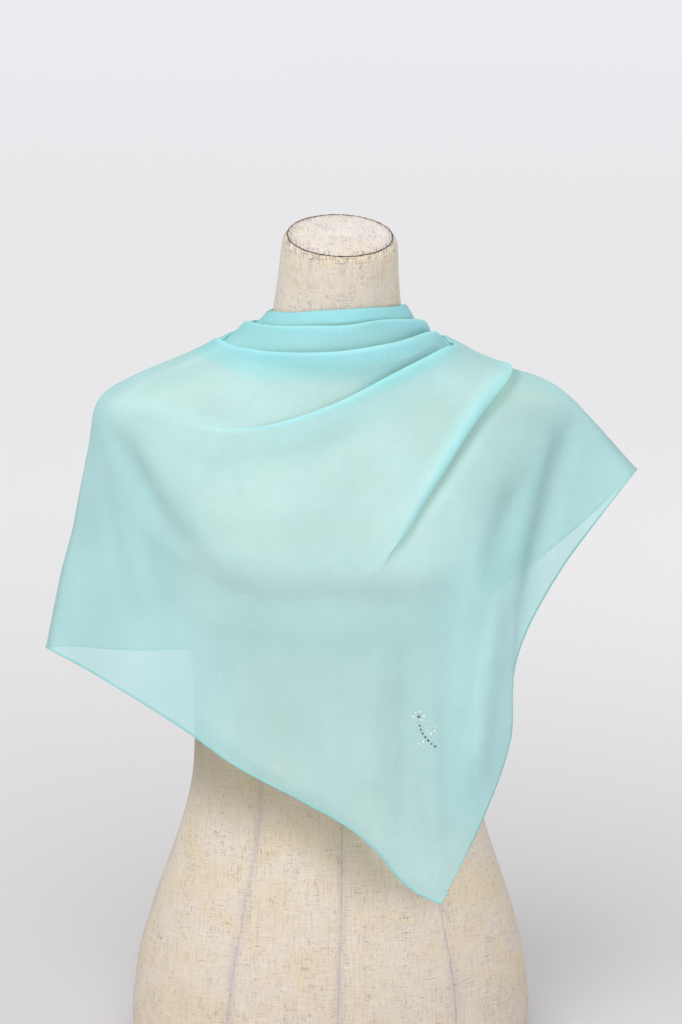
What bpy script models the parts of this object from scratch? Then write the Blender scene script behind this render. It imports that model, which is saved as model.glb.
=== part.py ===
"""A chiffon scarf worn on a linen dress form.

Metres, +Z up, the form faces -Y, and the origin is the centre of the board that it stands on.
The scarf is one sheet that closes round the shoulders. It is laid out as ribs that run from the
neck edge down to the hem, one for each direction round the neck, and as rows that run round it.
Each rib follows a plain drape, and the folds are raised from it: a fold doubles the cloth back
on itself, so that a rib passes through three layers there.
A direction is an angle in degrees seen from above: 0 is the form's left (+X), 90 is its back,
180 is its right and 270 is its front.
"""

import bisect
import math

import bmesh
import bpy
from mathutils import Vector
from mathutils.bvhtree import BVHTree

# ---- driving dimensions -------------------------------------------------------------------
GAP = 0.0003  # between pieces that touch
SEAM_INSET = 0.00025  # of each stretch of the scarf, from the line where it meets the next
CLOTH = 0.0012  # thickness of the scarf's wall
LAYER = 0.0030  # from the middle of one layer of a fold to the middle of the next
FOLD_NOSE = 0.0017  # how far a fold's rounded edge reaches past its straight layers
FOLD_SPREAD = 0.0032  # between the rows of a fold where it has died out
NECK_STAND_OFF = 0.0034  # from the neck's surface to the middle of the neck edge's outer layer
NECK_LAYER = 0.0021  # from that layer to the one that is turned in
NECK_TURN_IN = 0.010  # how far the neck edge is turned in and down
CLEAR = 0.0008  # from the form to the scarf's inner face

BOARD_HEIGHT = 0.012
BOARD_INSET = 0.004  # from the form's bottom edge to the board's
BOARD_BEVEL = 0.0015
CAP_PROFILE = (
    # inset  rise: of the neck cap's rounded edge, from the neck's rim in
    (0.0016, 0.0000),
    (0.0005, 0.0007),
    (0.0010, 0.0015),
    (0.0032, 0.0022),
    (0.0080, 0.0024),
)
FORM_SIDES = 48
FORM_RINGS_PER_ROW = 2
SHARP_FROM = 50.0  # degrees between two faces, from which their edge is drawn sharp

RIB_STEP_FRONT = 6.0  # degrees between the scarf's ribs
RIB_STEP_BACK = 9.0
NECK_EDGE_ROWS = 5
FOLD_ROWS = 8
ROWS_ABOVE_FIRST = 1
ROWS_ABOVE_THIRD = 2
ROWS_ABOVE_PLEAT = 4
ROWS_BELOW_PLEAT = 6
LIFT_ROUNDS = 12  # passes in which the drape is lifted off the form
LIFT_STEP = 0.004
DRAPE_STEP = 0.002  # along a rib, over which its slope is taken
COVER_SAG = 0.3  # in layers: how far the cloth sinks just past a tuck that it covers
SETTLING = 0.02  # down the rib from the last fold to the first row that lies free of it
HEM_WIDTH = 0.004
HEM_THICKNESS = 1.6  # of the rolled hem, in thicknesses of the cloth

# The dress form's sections, from the board up: half its width and the height of its sides, then
# the place of its front and of its back, seen from the side. "bend" is 1 where a section is a
# flat tilted ring, and 2 where its sides drop below its front and back, as over the shoulders.
FORM_SECTIONS = (
    # name              side_x  side_z  front_y  front_z  back_y  back_z  bend  corner
    ("bottom",          0.1725, 0.0123, -0.1110, 0.0123, 0.1160, 0.0123, 1.0, 2.15),
    ("thigh",           0.1735, 0.0400, -0.1120, 0.0400, 0.1185, 0.0400, 1.0, 2.15),
    ("hip",             0.1670, 0.0900, -0.1100, 0.0900, 0.1170, 0.0900, 1.0, 2.15),
    ("high hip",        0.1530, 0.1400, -0.1030, 0.1400, 0.1070, 0.1400, 1.0, 2.1),
    ("belly",           0.1335, 0.1970, -0.0930, 0.1970, 0.0910, 0.1970, 1.0, 2.1),
    ("below waist",     0.1225, 0.2420, -0.0865, 0.2420, 0.0810, 0.2420, 1.0, 2.1),
    ("waist",           0.1198, 0.2850, -0.0840, 0.2850, 0.0775, 0.2850, 1.0, 2.1),
    ("ribs",            0.1208, 0.3300, -0.0885, 0.3300, 0.0790, 0.3300, 1.0, 2.1),
    ("under bust",      0.1290, 0.3850, -0.0985, 0.3850, 0.0860, 0.3850, 1.0, 2.15),
    ("bust",            0.1390, 0.4450, -0.1080, 0.4450, 0.0930, 0.4450, 1.0, 2.2),
    ("armhole",         0.1500, 0.4850, -0.1050, 0.4950, 0.0985, 0.4900, 1.5, 2.15),
    ("chest",           0.1670, 0.5150, -0.0930, 0.5350, 0.1010, 0.5350, 2.0, 2.05),
    ("shoulder blade",  0.1850, 0.5400, -0.0800, 0.5700, 0.0970, 0.5750, 2.0, 2.0),
    ("shoulder tip",    0.1930, 0.5600, -0.0720, 0.5900, 0.0880, 0.6000, 2.0, 1.95),
    ("shoulder edge",   0.1860, 0.5750, -0.0660, 0.6020, 0.0800, 0.6160, 2.0, 1.9),
    ("shoulder line",   0.1450, 0.5915, -0.0600, 0.6140, 0.0710, 0.6310, 2.0, 1.9),
    ("neck base",       0.0850, 0.6150, -0.0545, 0.6280, 0.0620, 0.6460, 2.0, 2.0),
    ("neck foot",       0.0585, 0.6330, -0.0530, 0.6400, 0.0560, 0.6590, 1.5, 2.0),
    ("low neck",        0.0532, 0.6560, -0.0555, 0.6540, 0.0485, 0.6760, 1.0, 2.0),
    ("neck",            0.0500, 0.6850, -0.0600, 0.6750, 0.0390, 0.7000, 1.0, 2.0),
    ("neck end",        0.0478, 0.7092, -0.0634, 0.6965, 0.0285, 0.7220, 1.0, 2.0),
    ("neck rim",        0.0444, 0.7148, -0.0616, 0.7025, 0.0245, 0.7270, 1.0, 2.0),
)
BUST_HEIGHT = 0.4500
BUST_X = 0.0800
BUST_FULLNESS = 0.0170  # how far each side of the bust stands out from the chest
BUST_SPREAD = 0.0520

# Where the scarf's plain drape leaves what carries it: bust, shoulder tips and shoulder blades.
# "rounding" is the length over which it turns there, and "dip" how far it sinks on its way there
# from the neck edge.
YOKE = (
    # direction  x        y        z      rounding  dip
    (0.0,    0.1975,  0.0030, 0.5780, 0.016, 0.0200),
    (22.0,   0.1780,  0.0480, 0.5680, 0.040, 0.0190),
    (48.0,   0.1280,  0.0880, 0.5700, 0.060, 0.0080),
    (90.0,   0.0000,  0.1040, 0.5650, 0.075, 0.0020),
    (132.0, -0.1280,  0.0880, 0.5700, 0.060, 0.0080),
    (158.0, -0.1780,  0.0480, 0.5700, 0.040, 0.0120),
    (180.0, -0.2025,  0.0030, 0.5785, 0.020, 0.0080),
    (202.0, -0.1740, -0.0560, 0.5450, 0.045, 0.0080),
    (226.0, -0.1240, -0.1040, 0.4980, 0.075, 0.0040),
    (248.0, -0.0680, -0.1240, 0.4620, 0.090, 0.0000),
    (270.0,  0.0000, -0.1270, 0.4560, 0.090, 0.0000),
    (294.0,  0.0640, -0.1260, 0.4600, 0.090, 0.0000),
    (318.0,  0.1200, -0.1080, 0.4940, 0.075, 0.0040),
    (340.0,  0.1740, -0.0560, 0.5450, 0.045, 0.0100),
)

# The hem in three runs, which meet at the two folded wing tips and at the front point.
HEM_FRONT_RUN = (
    # direction  x        y        z
    (180.0, -0.2470,  0.0000, 0.3630),
    (192.0, -0.1950, -0.0600, 0.3465),
    (210.0, -0.1360, -0.0995, 0.3170),
    (222.0, -0.0959, -0.1144, 0.2901),
    (240.0, -0.0420, -0.1254, 0.2620),
    (256.0,  0.0010, -0.1300, 0.2370),
    (270.0,  0.0274, -0.1325, 0.2125),
    (278.0,  0.0384, -0.1332, 0.1975),
    (286.0,  0.0552, -0.1341, 0.1821),
    (294.0,  0.0770, -0.1350, 0.1710),
)
HEM_SIDE_RUN = (
    (294.0,  0.0770, -0.1350, 0.1710),
    (308.0,  0.1110, -0.1200, 0.2350),
    (322.0,  0.1375, -0.1000, 0.3000),
    (334.0,  0.1430, -0.0880, 0.3670),
    (348.0,  0.1840, -0.0620, 0.4370),
    (360.0,  0.2595,  0.0000, 0.5115),
)
HEM_BACK_RUN = (
    (0.0,    0.2595,  0.0000, 0.5115),
    (14.0,   0.2250,  0.0450, 0.4590),
    (32.0,   0.1780,  0.0860, 0.4050),
    (58.0,   0.0960,  0.1120, 0.3420),
    (90.0,   0.0000,  0.1180, 0.3260),
    (122.0, -0.0960,  0.1000, 0.3340),
    (150.0, -0.1740,  0.0550, 0.3450),
    (168.0, -0.2250,  0.0180, 0.3590),
    (180.0, -0.2470,  0.0000, 0.3630),
)

# The neck edge: half-widths of the neck there, its centre line and its height.
NECK_EDGE = (
    # direction  x        y        z
    (0.0,    0.0535,  0.0000, 0.6550),
    (22.5,   0.0515,  0.0200, 0.6510),
    (45.0,   0.0400,  0.0385, 0.6560),
    (90.0,   0.0000,  0.0585, 0.6580),
    (135.0, -0.0415,  0.0410, 0.6420),
    (157.5, -0.0525,  0.0205, 0.6420),
    (180.0, -0.0545,  0.0000, 0.6490),
    (225.0, -0.0385, -0.0390, 0.6550),
    (270.0,  0.0000, -0.0550, 0.6595),
    (315.0,  0.0385, -0.0390, 0.6590),
)

# The folds, in twelve directions: how far down the rib from the neck edge a fold's edge lies, and
# how deep the cloth is tucked behind it. A tuck under FOLD_SHUT opens out by degrees, and at
# FOLD_OPEN nothing is left of the fold.
FOLD_SHUT = 0.006
FOLD_OPEN = -0.008
FOLD_NAMES = ("first", "second", "third", "pleat")
FOLDS = (
    #       first         second        third          pleat
    #       edge   tuck   edge   tuck   edge   tuck    edge   tuck
    (0.0,   0.021, 0.007, 0.036, 0.007, 0.057,  0.006, 0.114,  0.003),
    (30.0,  0.020, 0.005, 0.038, 0.002, 0.062,  0.001, 0.114, -0.003),
    (60.0,  0.019, 0.001, 0.040, -0.001, 0.070, -0.005, 0.122, -0.008),
    (90.0,  0.019, -0.005, 0.042, -0.002, 0.080, -0.010, 0.138, -0.010),
    (120.0, 0.019, -0.005, 0.044, -0.002, 0.094, -0.010, 0.160, -0.010),
    (150.0, 0.018, 0.006, 0.046, 0.001, 0.118, -0.010, 0.184, -0.010),
    (180.0, 0.018, 0.006, 0.048, 0.005, 0.150, -0.010, 0.214, -0.010),
    (210.0, 0.015, 0.008, 0.042, 0.011, 0.118, -0.005, 0.236, -0.010),
    (240.0, 0.014, 0.008, 0.038, 0.014, 0.098,  0.003, 0.252, -0.010),
    (270.0, 0.014, 0.008, 0.035, 0.015, 0.074,  0.010, 0.236, -0.008),
    (300.0, 0.012, 0.008, 0.032, 0.014, 0.056,  0.013, 0.161,  0.009),
    (330.0, 0.015, 0.008, 0.030, 0.011, 0.0495, 0.013, 0.114,  0.012),
)
# Through a fold's seven rows, the share of the way from the layer above to the layer below.
FOLD_SHARES = (0.0, 0.04, 0.26, 0.44, 0.56, 0.74, 1.0)
FOLD_LAYERS = {
    # fold     layers that the cloth stands off the plain drape above the fold, and below it
    "first":  (0.0, 2.0),
    "second": (0.4, 2.4),
    "third":  (0.6, 2.6),
    "pleat":  (2.0, 0.0),
}

COLOURS = {
    "chiffon": ((0.42, 0.76, 0.74, 1.0), 0.7),
    "linen": ((0.72, 0.64, 0.52, 1.0), 0.85),
    "linen cap": ((0.75, 0.70, 0.64, 1.0), 0.85),
    "board": ((0.55, 0.42, 0.28, 1.0), 0.6),
}


# ---- small tools --------------------------------------------------------------------------
def material(name):
    """A plain Principled material with the colour and roughness listed for it."""
    made = bpy.data.materials.get(name) or bpy.data.materials.new(name)
    made.use_nodes = True
    colour, roughness = COLOURS[name]
    shader = made.node_tree.nodes["Principled BSDF"]
    shader.inputs["Base Color"].default_value = colour
    shader.inputs["Roughness"].default_value = roughness
    shader.inputs["Metallic"].default_value = 0.0
    made.diffuse_color = colour
    return made


def add_object(name, points, faces, material_name):
    """A smooth-shaded mesh object made of these points and faces."""
    mesh = bpy.data.meshes.new(name)
    mesh.from_pydata([tuple(point) for point in points], [], faces)
    work = bmesh.new()
    work.from_mesh(mesh)
    bmesh.ops.recalc_face_normals(work, faces=work.faces)
    work.to_mesh(mesh)
    work.free()
    mesh.shade_smooth()
    mesh.set_sharp_from_angle(angle=math.radians(SHARP_FROM))
    mesh.materials.append(material(material_name))
    made = bpy.data.objects.new(name, mesh)
    bpy.context.scene.collection.objects.link(made)
    return made


def cubic(before, start, end, after, keys, at):
    """Cubic through start and end, with slopes taken from the neighbours, at key `at`."""
    k0, k1, k2, k3 = keys
    span = k2 - k1
    t = (at - k1) / span
    slope_1 = (end - before) / (k2 - k0) * span
    slope_2 = (after - start) / (k3 - k1) * span
    return (
        (2 * t**3 - 3 * t**2 + 1) * start
        + (t**3 - 2 * t**2 + t) * slope_1
        + (3 * t**2 - 2 * t**3) * end
        + (t**3 - t**2) * slope_2
    )


def round_table(keys, values, at):
    """The value at direction `at` on a smooth closed line through the rows of a table."""
    at %= 360.0
    count = len(keys)
    low = max(i for i in range(count) if keys[i] <= at)
    places = [low - 1, low, low + 1, low + 2]
    around = [keys[i % count] + 360.0 * (i // count) for i in places]
    return cubic(*[values[i % count] for i in places], around, at)


def run_table(keys, values, at):
    """The value at key `at` on a smooth open line through the rows of a table."""
    low = max(i for i in range(len(keys) - 1) if keys[i] <= at)
    keys = [2 * keys[0] - keys[1], *keys, 2 * keys[-1] - keys[-2]]
    values = [2 * values[0] - values[1], *values, 2 * values[-1] - values[-2]]
    return cubic(*values[low : low + 4], keys[low : low + 4], at)


def eased(share):
    share = min(max(share, 0.0), 1.0)
    return share * share * (3.0 - 2.0 * share)


# ---- the dress form -----------------------------------------------------------------------
def form_ring(section):
    """Points round one section of the form."""
    side_x, side_z, front_y, front_z, back_y, back_z, bend, corner = section
    middle_y = (front_y + back_y) / 2
    depth = (back_y - front_y) / 2
    points = []
    for i in range(FORM_SIDES):
        angle = 2 * math.pi * i / FORM_SIDES
        across, along = math.cos(angle), math.sin(angle)
        x = side_x * math.copysign(abs(across) ** (2 / corner), across)
        share = math.copysign(abs(along) ** (2 / corner), along)
        y = middle_y + depth * share
        end_z = back_z if share > 0 else front_z
        z = side_z + (end_z - side_z) * abs(share) ** bend
        if share < 0:
            for bust_x in (-BUST_X, BUST_X):
                away = math.hypot(x - bust_x, z - BUST_HEIGHT) / BUST_SPREAD
                y -= BUST_FULLNESS * math.exp(-away * away) * abs(share)
        points.append(Vector((x, y, z)))
    return points


def form_sections():
    """The listed sections with smooth ones worked out between them."""
    rows = [row[1:] for row in FORM_SECTIONS]
    steps = range(len(rows))
    sections = []
    for step in range((len(rows) - 1) * FORM_RINGS_PER_ROW + 1):
        at = min(step / FORM_RINGS_PER_ROW, len(rows) - 1 - 1e-9)
        sections.append(
            [run_table(list(steps), [row[i] for row in rows], at) for i in range(8)]
        )
    return sections


def stack_rings(rings, close_bottom=True, close_top=True):
    """Points and faces of a body through these rings, each with the same number of points."""
    sides = len(rings[0])
    points = [point for ring in rings for point in ring]
    faces = []
    for k in range(len(rings) - 1):
        for i in range(sides):
            j = (i + 1) % sides
            faces.append((k * sides + i, k * sides + j, (k + 1) * sides + j, (k + 1) * sides + i))
    if close_bottom:
        faces.append(tuple(reversed(range(sides))))
    if close_top:
        faces.append(tuple((len(rings) - 1) * sides + i for i in range(sides)))
    return points, faces


def build_form_body():
    rings = [form_ring(section) for section in form_sections()]
    return add_object("form_body", *stack_rings(rings), "linen")


def scaled_ring(ring, share, lift):
    """A ring drawn in towards its centre and lifted square to its own plane."""
    centre = sum(ring, Vector()) / len(ring)
    quarter = len(ring) // 4
    normal = (ring[0] - centre).cross(ring[quarter] - centre).normalized()
    return [centre + (point - centre) * share + normal * lift for point in ring]


def build_neck_cap():
    """The disc that closes the neck, with a rounded edge."""
    rim = form_ring(FORM_SECTIONS[-1][1:])
    radius = FORM_SECTIONS[-1][1]
    rings = [scaled_ring(rim, 1.0 - inset / radius, GAP + rise) for inset, rise in CAP_PROFILE]
    return add_object("form_neck_cap", *stack_rings(rings), "linen cap")


def build_base():
    """The board under the form, its edge a little inside the cover."""
    bottom = form_ring(FORM_SECTIONS[0][1:])
    side_x = FORM_SECTIONS[0][1]
    profile = (
        (0.0, BOARD_BEVEL),
        (BOARD_BEVEL, 0.0),
        (BOARD_HEIGHT - BOARD_BEVEL, 0.0),
        (BOARD_HEIGHT, BOARD_BEVEL),
    )
    rings = []
    for height, bevel in profile:
        scale = 1.0 - (BOARD_INSET + bevel) / side_x
        rings.append([Vector((p.x * scale, p.y * scale, height)) for p in bottom])
    return add_object("form_base", *stack_rings(rings), "board")


# ---- the scarf ----------------------------------------------------------------------------
def column(table, i):
    return [row[i] for row in table]


def point_on(table, direction, closed):
    """The point x, y, z of a table at a direction."""
    read = round_table if closed else run_table
    return Vector([read(column(table, 0), column(table, i), direction) for i in (1, 2, 3)])


def hem_point(direction):
    if direction <= HEM_BACK_RUN[-1][0]:
        return point_on(HEM_BACK_RUN, direction, False)
    if direction <= HEM_FRONT_RUN[-1][0]:
        return point_on(HEM_FRONT_RUN, direction, False)
    return point_on(HEM_SIDE_RUN, direction, False)


class Rib:
    """One line of the plain drape, from the neck edge over the yoke to the hem."""

    STEPS = 24  # points in each of its three runs

    def __init__(self, direction):
        direction %= 360.0
        angle = math.radians(direction)
        out = Vector((math.cos(angle), math.sin(angle), 0.0))
        neck = point_on(NECK_EDGE, direction, True) + out * NECK_STAND_OFF
        yoke = point_on(YOKE, direction, True)
        rounding, dip = (round_table(column(YOKE, 0), column(YOKE, i), direction) for i in (4, 5))
        self.points = self.rounded_line(neck, yoke, hem_point(direction), rounding, dip)
        self.lengths = [0.0]
        for a, b in zip(self.points, self.points[1:]):
            self.lengths.append(self.lengths[-1] + (b - a).length)
        self.length = self.lengths[-1]

    def rounded_line(self, neck, yoke, hem, rounding, dip):
        """A run that dips on its way to the yoke, a round turn, and a straight run to the hem."""
        start = yoke + (neck - yoke).normalized() * rounding
        end = yoke + (hem - yoke).normalized() * rounding
        steps = [i / self.STEPS for i in range(self.STEPS)]
        points = []
        for t in steps:
            sunk = dip * t * (1 - t) ** 2 * 27 / 4  # deepest a third of the way down
            points.append(neck.lerp(start, t) - Vector((0.0, 0.0, sunk)))
        for t in steps:
            points.append((1 - t) ** 2 * start + 2 * t * (1 - t) * yoke + t * t * end)
        return points + [end.lerp(hem, t) for t in [*steps, 1.0]]

    def at(self, distance):
        """The point this far down the rib, which runs on straight past its ends."""
        i = min(max(bisect.bisect(self.lengths, distance) - 1, 0), len(self.points) - 2)
        a, b = self.points[i], self.points[i + 1]
        return a + (b - a).normalized() * (distance - self.lengths[i])


def fold_rows(fold, direction):
    """(distance down the rib, layers off the drape) of a fold's rows, from the cloth above on."""
    place = 1 + 2 * FOLD_NAMES.index(fold)
    edge, tuck = (round_table(column(FOLDS, 0), column(FOLDS, place + i), direction) for i in (0, 1))
    above, below = FOLD_LAYERS[fold]
    shut = eased((tuck - FOLD_OPEN) / (FOLD_SHUT - FOLD_OPEN))
    tuck = max(tuck, FOLD_SHUT)
    nose = FOLD_NOSE
    if below > above:  # the lower cloth lies over the upper
        folded = (0.0, tuck - nose, tuck, tuck - nose, nose, 0.0, nose)
        shares = FOLD_SHARES
    else:  # the upper cloth lies over the lower
        folded = (-nose, 0.0, -nose, nose - tuck, -tuck, nose - tuck, 0.0)
        shares = [1.0 - share for share in reversed(FOLD_SHARES)]
    rows = []
    for i, share in enumerate(shares):
        apart = (i - 3) * FOLD_SPREAD
        distance = edge + apart + (folded[i] - apart) * shut
        rows.append((distance, shut * (above + share * (below - above))))
    if below > above:  # past the bottom of the tuck, which the lower cloth covers
        past = max(edge + tuck + nose, rows[-1][0] + FOLD_SPREAD)
        rows.append((past, shut * (below - COVER_SAG)))
    return rows


def between(first, last, count):
    """Rows evenly spaced between two rows, without them."""
    shares = [i / (count + 1) for i in range(1, count + 1)]
    return [tuple(a + (b - a) * share for a, b in zip(first, last)) for share in shares]


def rib_rows(rib, direction):
    """(distance, layers) of every row of the scarf along one rib, from the turned-in edge on."""
    inner = -NECK_LAYER / LAYER
    nose = NECK_LAYER / 2
    rows = [
        (NECK_TURN_IN, inner),
        (NECK_TURN_IN / 2, inner),
        (nose, inner),
        (0.0, inner / 2),
        (nose, 0.0),
    ]
    counts = (ROWS_ABOVE_FIRST, 0, ROWS_ABOVE_THIRD, ROWS_ABOVE_PLEAT)
    for fold, rows_above in zip(FOLD_NAMES, counts):
        fold_part = fold_rows(fold, direction)
        rows += between(rows[-1], fold_part[0], rows_above) + fold_part
    settled = (rows[-1][0] + SETTLING, 0.0)
    hem_top = (rib.length - HEM_WIDTH, 0.0)
    rows += [settled, *between(settled, hem_top, ROWS_BELOW_PLEAT), hem_top, (rib.length, 0.0)]
    return rows


def rib_directions():
    back = round(180.0 / RIB_STEP_BACK)
    front = round(180.0 / RIB_STEP_FRONT)
    directions = [i * RIB_STEP_BACK for i in range(back)]
    return directions + [180.0 + i * RIB_STEP_FRONT for i in range(front)]


def evened(rows, lifts):
    """One rib's lifts, made the same for all the layers that lie at one distance down it."""
    levels = []
    for k in range(round(rows[-1][0] / LIFT_STEP) + 2):
        near = [abs(row[0] - k * LIFT_STEP) < LIFT_STEP for row in rows]
        levels.append(max((lift for lift, is_near in zip(lifts, near) if is_near), default=0.0))
    edge = round(NECK_TURN_IN / LIFT_STEP) + 2  # the turned-in edge keeps its two layers apart
    levels[:edge] = [max(levels[:edge])] * edge
    even = []
    for distance, _ in rows:
        k, share = divmod(distance / LIFT_STEP, 1.0)
        even.append(levels[int(k)] * (1.0 - share) + levels[int(k) + 1] * share)
    return even


def points_across(corners):
    """Points on the edges and on both diagonals of a four-cornered facet."""
    a, b, c, d = corners
    lines = ((a, b), (b, c), (c, d), (d, a), (a, c), (b, d))
    return [start.lerp(end, share) for start, end in lines for share in (0.0, 0.25, 0.5, 0.75)]


class Sheet:
    """The whole scarf as a grid of points on the middle of the cloth: a column for each rib."""

    def __init__(self, form):
        self.directions = rib_directions()
        self.count = len(self.directions)
        self.ribs = [Rib(direction) for direction in self.directions]
        self.form = BVHTree.FromObject(form, bpy.context.evaluated_depsgraph_get())
        rows = [rib_rows(rib, direction) for rib, direction in zip(self.ribs, self.directions)]
        self.rows = len(rows[0])
        self.plain = [[rib.at(row[0]) for row in rows[i]] for i, rib in enumerate(self.ribs)]
        self.outward = [[self.drape_normal(i, row[0]) for row in rows[i]] for i in self.every()]
        lifts = self.find_lifts(rows)
        self.points = [
            [
                self.plain[i][j] + self.outward[i][j] * (lifts[i][j] + rows[i][j][1] * LAYER)
                for j in range(self.rows)
            ]
            for i in self.every()
        ]
        self.frames = [[self.frame(i, j) for j in range(self.rows)] for i in self.every()]

    def every(self):
        return range(self.count)

    def drape_normal(self, i, distance):
        """Outward direction of the plain drape at a distance down rib i."""
        rib = self.ribs[i]
        after, before = self.ribs[(i + 1) % self.count], self.ribs[i - 1]
        down = rib.at(distance + DRAPE_STEP) - rib.at(distance - DRAPE_STEP)
        around = after.at(distance) - before.at(distance)
        return down.cross(around).normalized()

    def height_over_form(self, point):
        found, normal, _, away = self.form.find_nearest(point)
        return math.copysign(away, (point - found).dot(normal))

    def find_lifts(self, rows):
        """How far the plain drape is lifted off the form at each row of each rib."""
        lifts = [[0.0] * self.rows for _ in self.every()]
        for _ in range(LIFT_ROUNDS):
            for i in self.every():
                k = (i + 1) % self.count
                for j in range(self.rows - 1):
                    corners = ((i, j), (k, j), (k, j + 1), (i, j + 1))
                    put = [self.plain[a][b] + self.outward[a][b] * lifts[a][b] for a, b in corners]
                    turned_in = rows[i][j][0] < NECK_TURN_IN + LIFT_STEP
                    need = CLOTH / 2 + CLEAR + NECK_LAYER * turned_in
                    low = min(self.height_over_form(point) for point in points_across(put))
                    if low < need:
                        for a, b in corners:
                            lifts[a][b] += (need - low) / 2
        return [evened(rows[i], lifts[i]) for i in self.every()]

    def frame(self, i, j):
        """Directions at a grid point of the folded cloth: outward, round it and down it."""
        here = self.points[i][j]
        after, before = self.points[(i + 1) % self.count][j], self.points[i - 1][j]
        around = (after - here).normalized() + (here - before).normalized()
        down = Vector()
        if j > 0:
            down += (here - self.points[i][j - 1]).normalized()
        if j < self.rows - 1:
            down += (self.points[i][j + 1] - here).normalized()
        outward = down.cross(around).normalized()
        return outward, outward.cross(down).normalized(), around.cross(outward).normalized()


def build_stretch(name, sheet, first_direction, last_direction, rows):
    """One stretch of the scarf as a closed wall, its inner edges set back from its neighbours."""
    first = sheet.directions.index(first_direction)
    last = sheet.directions.index(last_direction % 360.0)
    if last <= first:
        last += sheet.count
    ribs = range(first, last + 1)
    middle = [[sheet.points[i % sheet.count][j].copy() for j in rows] for i in ribs]
    frames = [[sheet.frames[i % sheet.count][j] for j in rows] for i in ribs]
    high, wide = len(rows), len(ribs)
    for j in range(high):
        middle[0][j] += frames[0][j][1] * SEAM_INSET
        middle[-1][j] -= frames[-1][j][1] * SEAM_INSET
    for i in range(wide):
        if rows[0] != 0:
            middle[i][0] += frames[i][0][2] * SEAM_INSET
        if rows[-1] != sheet.rows - 1:
            middle[i][-1] -= frames[i][-1][2] * SEAM_INSET
    points = []
    for side in (1, -1):
        for i in range(wide):
            for j, row in enumerate(rows):
                half = CLOTH / 2
                if side > 0 and row >= sheet.rows - 2:
                    half *= HEM_THICKNESS
                points.append(middle[i][j] + frames[i][j][0] * half * side)
    inner = wide * high
    faces = []
    for i in range(wide - 1):
        for j in range(high - 1):
            a, b, c, d = (i * high + j, i * high + j + 1, (i + 1) * high + j + 1, (i + 1) * high + j)
            one_way = (middle[i][j] - middle[i + 1][j + 1]).length
            other_way = (middle[i][j + 1] - middle[i + 1][j]).length
            halves = ((a, b, c), (a, c, d)) if one_way < other_way else ((a, b, d), (b, c, d))
            for half in halves:
                faces += [half, tuple(inner + corner for corner in reversed(half))]
    border = [i * high for i in range(wide)]
    border += [(wide - 1) * high + j for j in range(1, high)]
    border += [i * high + high - 1 for i in range(wide - 2, -1, -1)]
    border += list(range(high - 2, 0, -1))
    for a, b in zip(border, border[1:] + border[:1]):
        faces.append((a, b, inner + b, inner + a))
    return add_object(name, points, faces, "chiffon")


def build_scarf(form):
    sheet = Sheet(form)
    # the row just above the bottom of the third fold's tuck
    parting = NECK_EDGE_ROWS + ROWS_ABOVE_FIRST + 2 * FOLD_ROWS + ROWS_ABOVE_THIRD + 1
    neck = range(parting + 1)
    below = range(parting, sheet.rows)
    build_stretch("scarf_neck_front", sheet, 180.0, 360.0, neck)
    build_stretch("scarf_neck_back", sheet, 0.0, 180.0, neck)
    build_stretch("scarf_front", sheet, 216.0, 330.0, below)
    build_stretch("scarf_left_side", sheet, 330.0, 27.0, below)
    build_stretch("scarf_back", sheet, 27.0, 144.0, below)
    build_stretch("scarf_right_side", sheet, 144.0, 216.0, below)


def main():
    for old in list(bpy.data.objects):
        bpy.data.objects.remove(old)
    form = build_form_body()
    build_neck_cap()
    build_base()
    bpy.context.view_layer.update()
    build_scarf(form)


main()
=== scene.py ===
"""Chiffon scarf on a linen dress form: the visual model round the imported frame.

Metres, +Z up, the form faces -Y. The scarf is one thin sheet. Its drape, folds and hem repeat the
tables of the CAD source at a finer step; its creases, the hem's roll, the stones, the linen
cover's seams and all the materials are made here.
A direction is an angle in degrees seen from above: 0 is the form's left (+X), 90 its back, 180
its right and 270 its front.
"""

import math
import random

import bpy
import numpy as np
from mathutils import Matrix, Vector, noise
from mathutils.bvhtree import BVHTree
from mathutils.kdtree import KDTree


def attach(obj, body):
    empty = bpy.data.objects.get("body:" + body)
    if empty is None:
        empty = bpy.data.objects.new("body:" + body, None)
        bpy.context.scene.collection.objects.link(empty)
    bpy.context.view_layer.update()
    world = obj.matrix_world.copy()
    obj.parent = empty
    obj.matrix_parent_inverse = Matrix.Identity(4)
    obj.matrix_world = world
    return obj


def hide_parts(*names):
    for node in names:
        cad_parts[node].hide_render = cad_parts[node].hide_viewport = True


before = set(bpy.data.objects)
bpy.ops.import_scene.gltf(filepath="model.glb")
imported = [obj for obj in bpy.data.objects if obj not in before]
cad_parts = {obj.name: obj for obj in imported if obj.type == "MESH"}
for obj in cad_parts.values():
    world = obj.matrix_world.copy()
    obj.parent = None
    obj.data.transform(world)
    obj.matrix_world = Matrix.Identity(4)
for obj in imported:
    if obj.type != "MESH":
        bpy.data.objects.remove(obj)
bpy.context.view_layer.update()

random.seed(7)


def in_metres(table, kept=(0,)):
    """A table in millimetres as an array in metres, but for its kept columns."""
    table = np.array(table, float)
    scale = np.full(table.shape[1], 1000.0)
    scale[list(kept)] = 1.0
    return table / scale


# ---- sizes that repeat the CAD source; tables are in millimetres ----
CLOTH = 0.0012
LAYER = 0.0030
FOLD_NOSE = 0.0017
FOLD_SPREAD = 0.0032
NECK_STAND_OFF = 0.0034
NECK_LAYER = 0.0021
NECK_TURN_IN = 0.010
CLEAR = 0.0008
FOLD_SHUT = 0.006
FOLD_OPEN = -0.008
COVER_SAG = 0.3
SETTLING = 0.02
LIFT_STEP = 0.004
DRAPE_STEP = 0.002
BUST_HEIGHT, BUST_X, BUST_FULLNESS, BUST_SPREAD = 0.4500, 0.0800, 0.0170, 0.0520

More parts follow.
